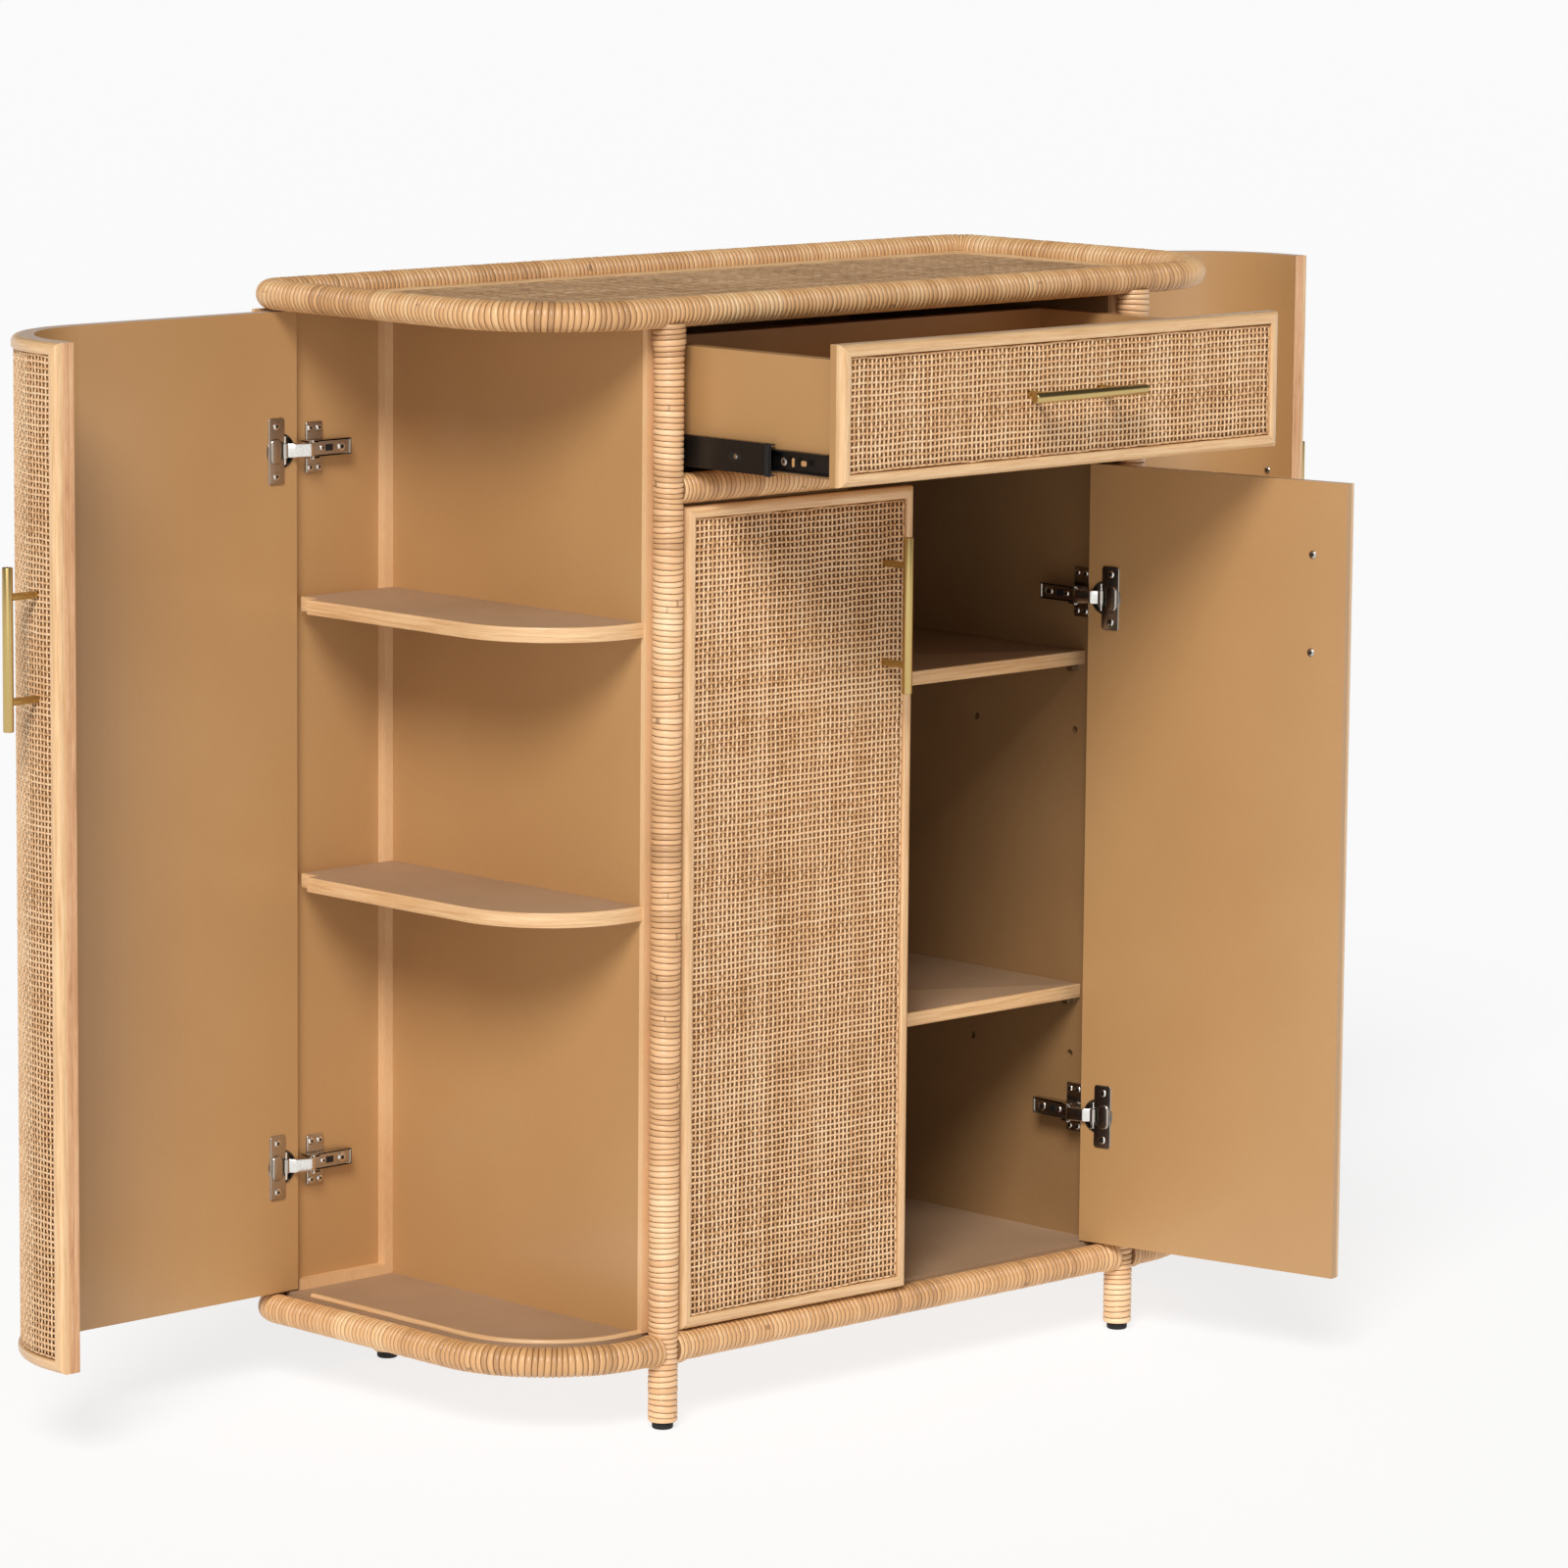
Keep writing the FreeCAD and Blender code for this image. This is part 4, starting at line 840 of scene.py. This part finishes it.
def make_top():
    """Herringbone weave on the top board: twill strips whose step turns back every 12 strips."""
    low, high = box("top_weave")
    inset = RIM_X - high[0]
    plane = low[2] + 1.3
    pitch, half, crown = 6.0, 2.85, 0.8
    x_half, y_low, y_high = RIM_X - inset + 3, inset - 3, RIM_Y - inset + 3
    radius = BEND_R - inset + 3
    columns, rows = round(2 * x_half / pitch), round((y_high - y_low) / pitch)
    x = -x_half + (np.arange(columns) + 0.5) * 2 * x_half / columns
    y = y_low + (np.arange(rows) + 0.5) * (y_high - y_low) / rows

    def over(i, j):
        step = np.abs((j + 12) % 24 - 12)
        return np.where((i + step) % 4 < 2, 1.0, -1.0)

    surfaces = Surfaces()
    up = np.array([0.0, 0.0, 1.0])
    past = np.clip(np.abs(x) - BEND_X, 0, radius)
    start = BEND_R - np.sqrt(radius ** 2 - past ** 2)
    share = np.linspace(0, 1, rows)
    span_y = start[:, None] + (y_high - start)[:, None] * share
    j = np.clip(np.round((span_y - y[0]) / (y[1] - y[0])), 0, rows - 1)
    height = plane + 0.3 * over(np.arange(columns)[:, None], j)
    points = np.stack([np.broadcast_to(x[:, None], span_y.shape), span_y, height], 2)
    surfaces.strips(points, np.broadcast_to([1.0, 0.0, 0.0], points.shape), np.broadcast_to(up, points.shape),
                    half, crown, 0)
    past = np.clip(BEND_R - y, 0, radius)
    reach = BEND_X + np.sqrt(radius ** 2 - past ** 2)
    span_x = reach[:, None] * np.linspace(-1, 1, columns)
    i = np.clip(np.round((span_x - x[0]) / (x[1] - x[0])), 0, columns - 1)
    height = plane - 0.3 * over(i, np.arange(rows)[:, None])
    points = np.stack([span_x, np.broadcast_to(y[:, None], span_x.shape), height], 2)
    surfaces.strips(points, np.broadcast_to([0.0, 1.0, 0.0], points.shape), np.broadcast_to(up, points.shape),
                    half, crown, columns)
    surfaces.piece("herringbone_top", "cabinet", "woven_panel", [TOP_CANE], ["top_weave"], smooth=180)
    bead()


def bead():
    """A half-round bead between the woven panel and the rim, carried round the top's outline."""
    low, high = box("top_bead")
    inset = POLE_R - 1.5
    section = half_round(RIM_X - box("top_weave")[1][0] - inset, high[2] - low[2], 0.0, 0.45)
    rings, distance = along(*inside_rim(inset), section, low[2], 420, looped=True)
    surfaces = Surfaces()
    surfaces.tube(rings, u=distance, v=np.linspace(0, 18, len(section) + 1), looped=True)
    surfaces.piece("top_edge_bead", "cabinet", "trim_wood", [TRIM], ["top_bead"])


# ------------------------------------------------------------------ shelves


def end_shelf_outline(inset):
    """Square at the divider, round at the front corner, notched beside the hinges."""
    low, high = box("left_end_shelves")
    left, right = low[0] + inset, high[0] - inset
    front, back = low[1] - FRONT + inset, high[1] - FRONT - inset
    radius = BEND_R - (RIM_X + low[0]) - inset
    notch_x, notch_y = -446.0 + inset, 350.0 - inset
    angles = np.linspace(-math.pi / 2, -math.pi, 15)
    arc = np.stack([-BEND_X + radius * np.cos(angles), BEND_R + radius * np.sin(angles)], 1)
    return np.array([(right, front), *arc, (left, notch_y), (notch_x, notch_y), (notch_x, back),
                     (right, back)])


def make_floor_seal():
    """A flat strip under the floor board's edge, carried round inside the wound rim."""
    section = np.array([(0.0, -0.8), (9.0, -0.8), (9.0, -0.1), (0.0, -0.1)])
    rings, _ = along(*inside_rim(POLE_R - 3.0), section, box("bottom_board")[0][2], 240, looped=True)
    surfaces = Surfaces()
    surfaces.tube(rings, looped=True)
    surfaces.piece("floor_edge_seal", "cabinet", "shelf_board", [SHELF_FACE])


def make_floor_beads():
    """A half-round bead on the floor board of each end, just inside the shut door, to the divider."""
    inset = END_DOOR["thick"] + FACE_Y + 2.5
    outer, section = RIM_X - inset, half_round(6.5, 3.2, -0.4, 0.4)
    corners = [(-outer, 345.0), (-outer, inset), (-POST_X - POLE_R, inset)]
    rings, distance = along(corners, [BEND_R - inset], section, box("bottom_board")[1][2], 120)
    surfaces = Surfaces()
    surfaces.tube(rings, u=distance, v=np.linspace(0, 18, len(section) + 1))
    surfaces.mirrored().piece("end_floor_beads", "cabinet", "trim_wood", [TRIM])


def make_shelves():
    """The round-cornered end shelves and the two plain shelves behind the front doors."""
    for where, side in (("left", -1), ("right", 1)):
        surfaces = Surfaces()
        low, high = box(f"{where}_end_shelves")
        for top in (high[2], low[2] + 14.5):
            plate(surfaces, end_shelf_outline, top - 14.5, top, 1.0, lambda p: p, slot=1, cap_slot=0)
        surfaces.piece(f"{where}_end_shelf_boards", "cabinet", "shelf_board", [SHELF_FACE, TRIM],
                       [f"{where}_end_shelves"], side)
    for node in ("upper_shelf", "lower_shelf"):
        low, high = box(node)
        size, middle = high - low, (high + low) / 2
        surfaces = Surfaces()
        outline = pad(size[0], size[1], 1.2, (middle[0], middle[1] - FRONT))
        plate(surfaces, outline, low[2], high[2], 1.0, lambda p: p, slot=1, cap_slot=0)
        surfaces.piece(f"{node}_board", "cabinet", "shelf_board", [SHELF_FACE, TRIM], [node])


# ------------------------------------------------------------------ hinges


def pin_space(kind, arm):
    """Map (p, q, z) at a left hinge's pin to the left, shut cabinet.

    For an arm p runs into the cabinet and q to the wall; for a cup p runs to the door's free
    edge and q out of its inner face."""
    x, y = PINS[kind]
    first, second = {("front", True): ((0, 1), (-1, 0)), ("end", True): ((1, 0), (0, 1)),
                     ("front", False): ((1, 0), (0, 1)), ("end", False): ((0, -1), (1, 0))}[kind, arm]
    turn = np.array([[*first, 0.0], [*second, 0.0], [0.0, 0.0, 1.0]])
    return lambda points: np.asarray(points, float) @ turn + [x, y, 0.0], turn


def block(surfaces, place, low, high, edge, slot=0):
    """A box with rounded corners and edges between two corners of hinge space, built up along q."""
    low, high = np.array(low, float), np.array(high, float)
    middle, size = (low + high) / 2, high - low

    def stand(points):
        return place(np.column_stack([points[:, 0] + middle[0], points[:, 2], points[:, 1] + middle[2]]))

    plate(surfaces, pad(size[0], size[2], edge * 2), low[1], high[1], edge, stand, slot)


def hinge_arm(surfaces, kind, z):
    """Eye, bent bright link, knuckle, channelled arm with its screws, and winged mounting plate."""
    place, turn = pin_space(kind, True)
    wall = 17.3 if kind == "front" else 7.0
    base = np.array([0.0, 0.0, z])
    turned_piece(surfaces, place(base - [0, 0, 7]), [0, 0, 1], [(0, 3.4), (0.5, 4), (13.5, 4), (14, 3.4)], 18)
    line, length = route([(0, 0), (7, -7), (25, -13.2), (29, -1)], [3.0, 2.5])
    stations = np.linspace(0, length, 26)
    spots, turned = line(stations)
    normal = np.stack([np.sin(turned), -np.cos(turned)], 1)
    section = rounded_rectangle(2.4, 13.6, 1.0)
    rings = np.empty((len(stations), len(section), 3))
    rings[:, :, :2] = spots[:, None] + normal[:, None] * section[None, :, :1]
    rings[:, :, 2] = z + section[:, 1]
    surfaces.tube(np.array([place(ring) for ring in rings]), slot=1)
    turned_piece(surfaces, place(base + [26, -10.2, -9.3]), [0, 0, 1],
                 [(0, 2.0), (0.4, 2.4), (18.2, 2.4), (18.6, 2.0)], 14, 1)
    # knuckle cheeks, arm, its two side walls, its end, the screw block and the winged plate
    parts = [((22, -12.2, -8.5), (34, 3, -6.7), 0.8), ((22, -12.2, 6.7), (34, 3, 8.5), 0.8),
             ((29, -4, -ARM_HALF), (ARM_END, -2.6, ARM_HALF), 0.6),
             ((28, -4.9, -8.0), (ARM_END, 3.5, -6.4), 0.7), ((28, -4.9, 6.4), (ARM_END, 3.5, 8.0), 0.7),
             ((ARM_END - 2, -4.9, -ARM_HALF), (ARM_END, 3, ARM_HALF), 0.7),
             ((38, -1.8, -5), (76, wall - 0.1, 5), 0.8),
             ((31, wall - 2.5, -25), (52, wall - 0.05, 25), 1.1)]
    for low, high, edge in parts:
        block(surfaces, place, base + low, base + high, edge)
    # a dark plate in the arm's slot: painted shade
    block(surfaces, place, base + (48, -4.5, -3.2), base + (57, -3.9, 3.2), 0.25, 2)
    towards_room = -np.array([*turn[1][:2], 0.0])
    for along_arm, radius in ((44, 3.0), (68, 4.6)):
        screw_head(surfaces, place(base + [along_arm, -4.0, 0]), towards_room, radius, 1.2, 1)
    for rise in (-19, 19):
        for along_arm in (36, 47):
            screw_head(surfaces, place(base + [along_arm, wall - 2.5, rise]), towards_room, 3.4, 1.2, 1)


def hinge_cup(surfaces, kind, z):
    """Deep-drawn cup, the D-shaped cover of its linkage, its flange with two screws, and the pin."""
    place, turn = pin_space(kind, False)
    out = np.array([*turn[1][:2], 0.0])
    base = np.array([0.0, 0.0, z])
    turned_piece(surfaces, place(base + [CUP_IN, COVER_Q, 0]), out, [
        (-7.4, 0.1), (-7.4, 15.5), (-7.0, 16.8), (-6.0, CUP_R), (0.0, CUP_R), (0.6, 17.3), (1.15, 16.9),
        (1.15, 16.5), (0.4, 16.3), (-5.6, 16.0), (-6.3, 15.0), (-6.4, 0.1)], 40)

    def above(points):
        return place(np.column_stack([points[:, 0], points[:, 2] + COVER_Q, points[:, 1] + z]))

    def flange(inset):
        """The flange's rectangle, notched at its edge where the link comes out."""
        whole = pad(FLANGE_WIDE, FLANGE_TALL, 3.2, (FLANGE_P, 0))(inset)
        edge = FLANGE_P - FLANGE_WIDE / 2
        notch = np.array([(edge, -8.5), (5.8, -8.5), (5.8, 8.5), (edge, 8.5)]) + [inset, 0]
        notch[:, 1] += inset * np.sign(notch[:, 1])
        half = len(whole) // 2
        return np.vstack([whole[:half], notch[::-1], whole[half:]])

    plate(surfaces, flange, 0.0, 1.3, 0.55, above)
    plate(surfaces, pad(12.5, 25.0, 5.5, (14.0, 0)), 1.0, 3.1, 1.4, above)
    # a dark strip beside the link: painted shade of the hole it comes out of
    plate(surfaces, pad(3.0, 19.0, 0.8, (7.9, 0)), 1.0, 1.5, 0.2, above, 2)
    for rise in (-24, 24):
        screw_head(surfaces, place(base + [12.7, COVER_Q + 1.2, rise]), out, 3.7, 1.0, 1)
    turned_piece(surfaces, place(base - [0, 0, 13.5]), [0, 0, 1], [(0, 1.9), (27, 1.9)], 14, 1)


def make_hinges():
    """Two hinges for each door: the arms ride on the cabinet and the cups on the door."""
    finishes = [NICKEL, LINK, RECESS]
    for kind in ("front", "end"):
        arms = Surfaces()
        for z in HINGE_Z[kind]:
            hinge_arm(arms, kind, z)
        arms.mirrored().piece(f"{kind}_hinge_links", "cabinet", "nickel", finishes, [f"{kind}_hinge_arms"],
                              smooth=35)
        for where, side in (("left", -1), ("right", 1)):
            surfaces, body = Surfaces(), f"{where}_{kind}_door"
            for z in HINGE_Z[kind]:
                hinge_cup(surfaces, kind, z)
            surfaces.piece(f"{body}_cups", body, "nickel", finishes, [f"{body}_hinge_cups"], side, smooth=35)


# ------------------------------------------------------------------ slides


def make_slide_details():
    """Plastic retainers on the middle members, a slot, and the screw and slots of the inner members."""
    low, high = box("slide_middles")
    front, outer, z = low[1] - FRONT + SHUT["slide_middles"] / MM, -high[0], (low[2] + high[2]) / 2

    def straight(points):
        return np.column_stack([outer - points[:, 2], points[:, 0], points[:, 1]])

    middles = Surfaces()
    for back, wide, tall, rise in ((3.0, 9.0, 31.2, 1.1), (7.5, 2.0, 24.0, 1.6), (-0.5, 2.0, 28.0, 1.6)):
        plate(middles, pad(wide, tall, 1.5, (front + back, z)), -0.2, rise, 0.4, straight)
    # a dark plate on the middle member: painted shade of its slot
    plate(middles, pad(17.0, 7.0, 3.0, (front + 48, z)), 0.0, 0.15, 0.05, straight, 1)
    screw_head(middles, [outer - 0.1, front + 46, z], [-1, 0, 0], 2.4, 0.5, 2)
    middles.mirrored().piece("slide_retainers", "slide_middles", "slide_steel", [RUBBER, RECESS, NICKEL],
                             smooth=35)
    low, high = box("slide_inners")
    front, outer = low[1] - FRONT + SHUT["drawer"] / MM, -high[0]
    inners = Surfaces()
    screw_head(inners, [outer - 0.1, front + 56, z], [-1, 0, 0], 4.0, 0.8, 0)
    for back, wide, tall in ((44, 3.5, 8.5), (30, 7.0, 5.0)):
        plate(inners, pad(wide, tall, 1.6, (front + back, z)), 0.0, 0.15, 0.05, straight, 1)
    inners.mirrored().piece("slide_screws", "drawer", "slide_steel", [NICKEL, BOARD, RECESS], smooth=35)


# ------------------------------------------------------------------ feet and CAD nodes that stay


def make_feet():
    """Moulded caps under the four posts, turned about each post's axis."""
    surfaces = Surfaces()
    for x in (-POST_X, POST_X):
        for y in (0.0, RIM_Y):
            turned_piece(surfaces, [x, y, 0], [0, 0, 1], [(0.0, 9.0), (0.6, 9.8), (1.6, 10.2), (6.0, 10.2),
                                                          (FOOT_TALL + 1, 9.9)], 32)
    surfaces.piece("rubber_feet", "cabinet", "rubber", [RUBBER], ["foot_caps"])


def dress_frame_nodes():
    """Give the CAD nodes that stay visible their finishes."""
    for node, made in frame["nodes"].items():
        if not made.hide_render:
            made.data.materials.clear()
            made.data.materials.append(NODE_FINISH.get(node, BOARD))


# ------------------------------------------------------------------ floor, light and camera


def make_stage():
    """A white floor that glows, as a lit sweep does, under a soft key light and a weak fill."""
    mesh = bpy.data.meshes.new("studio_floor")
    reach = 60.0
    corners = [(-reach, -reach, 0), (reach, -reach, 0), (reach, reach, 0), (-reach, reach, 0)]
    mesh.from_pydata(corners, [], [(0, 1, 2, 3)])
    floor = bpy.data.objects.new("studio_floor", mesh)
    bpy.context.scene.collection.objects.link(floor)
    made, tree, shader = new_material("white_sweep")
    for socket, value in (("Base Color", (0.22, 0.22, 0.22, 1)), ("Roughness", 0.9),
                          ("Emission Color", (1, 1, 1, 1)), ("Emission Strength", 0.79)):
        shader.inputs[socket].default_value = value
    mesh.materials.append(made)
    world = bpy.data.worlds.new("studio")
    bpy.context.scene.world = world
    world.use_nodes = True
    tree = world.node_tree
    height = add(tree, "Math", {"operation": "ABSOLUTE"}, i0=add(
        tree, "SeparateXYZ", Vector=add(tree, "TexCoord").outputs["Generated"]).outputs[2])
    # a white band round the horizon, as the lit wall of a studio, under a dim ceiling
    band = add(tree, "MapRange", {"interpolation_type": "SMOOTHSTEP"}, Value=height, From_Min=0.11,
               From_Max=0.24, To_Min=0.93, To_Max=0.07)
    background = tree.nodes["Background"]
    background.inputs["Color"].default_value = linear("#FFFFFF")
    tree.links.new(band.outputs[0], background.inputs["Strength"])
    for name, way, strength, spread in (("key", (-0.61, -0.47, 0.63), 2.72, 22),
                                        ("side", (-0.55, -0.75, 0.30), 0.35, 50)):
        data = bpy.data.lights.new(name, "SUN")
        data.energy, data.angle = strength, math.radians(spread)
        lamp = bpy.data.objects.new(name, data)
        lamp.rotation_mode = "QUATERNION"
        lamp.rotation_quaternion = Vector(way).to_track_quat("Z", "Y")
        bpy.context.scene.collection.objects.link(lamp)


def make_camera():
    """The camera stands at the cabinet's front left, a little above it, with a long lens."""
    yaw, pitch, roll = 0.77193, 0.15039, 0.0088
    place = Vector((-4.8506, -4.8173 + FRONT * MM, 1.6223))
    forwards = Vector((math.sin(yaw) * math.cos(pitch), math.cos(yaw) * math.cos(pitch), -math.sin(pitch)))
    right = Vector((math.cos(yaw), -math.sin(yaw), 0.0))
    up = right.cross(forwards)
    rolled_right = math.cos(roll) * right + math.sin(roll) * up
    rolled_up = -math.sin(roll) * right + math.cos(roll) * up
    data = bpy.data.cameras.new("camera")
    data.sensor_width = 36.0
    data.lens = 163.87
    data.clip_end = 100.0
    camera = bpy.data.objects.new("camera", data)
    turn = Matrix((rolled_right, rolled_up, -forwards)).transposed().to_4x4()
    camera.matrix_world = Matrix.Translation(place) @ turn
    bpy.context.scene.collection.objects.link(camera)
    bpy.context.scene.camera = camera


make_poles()
make_doors()
make_top()
make_floor_seal()
make_floor_beads()
make_shelves()
make_hinges()
make_slide_details()
make_feet()
dress_frame_nodes()
make_stage()
make_camera()
bpy.context.scene.view_settings.view_transform = "Standard"
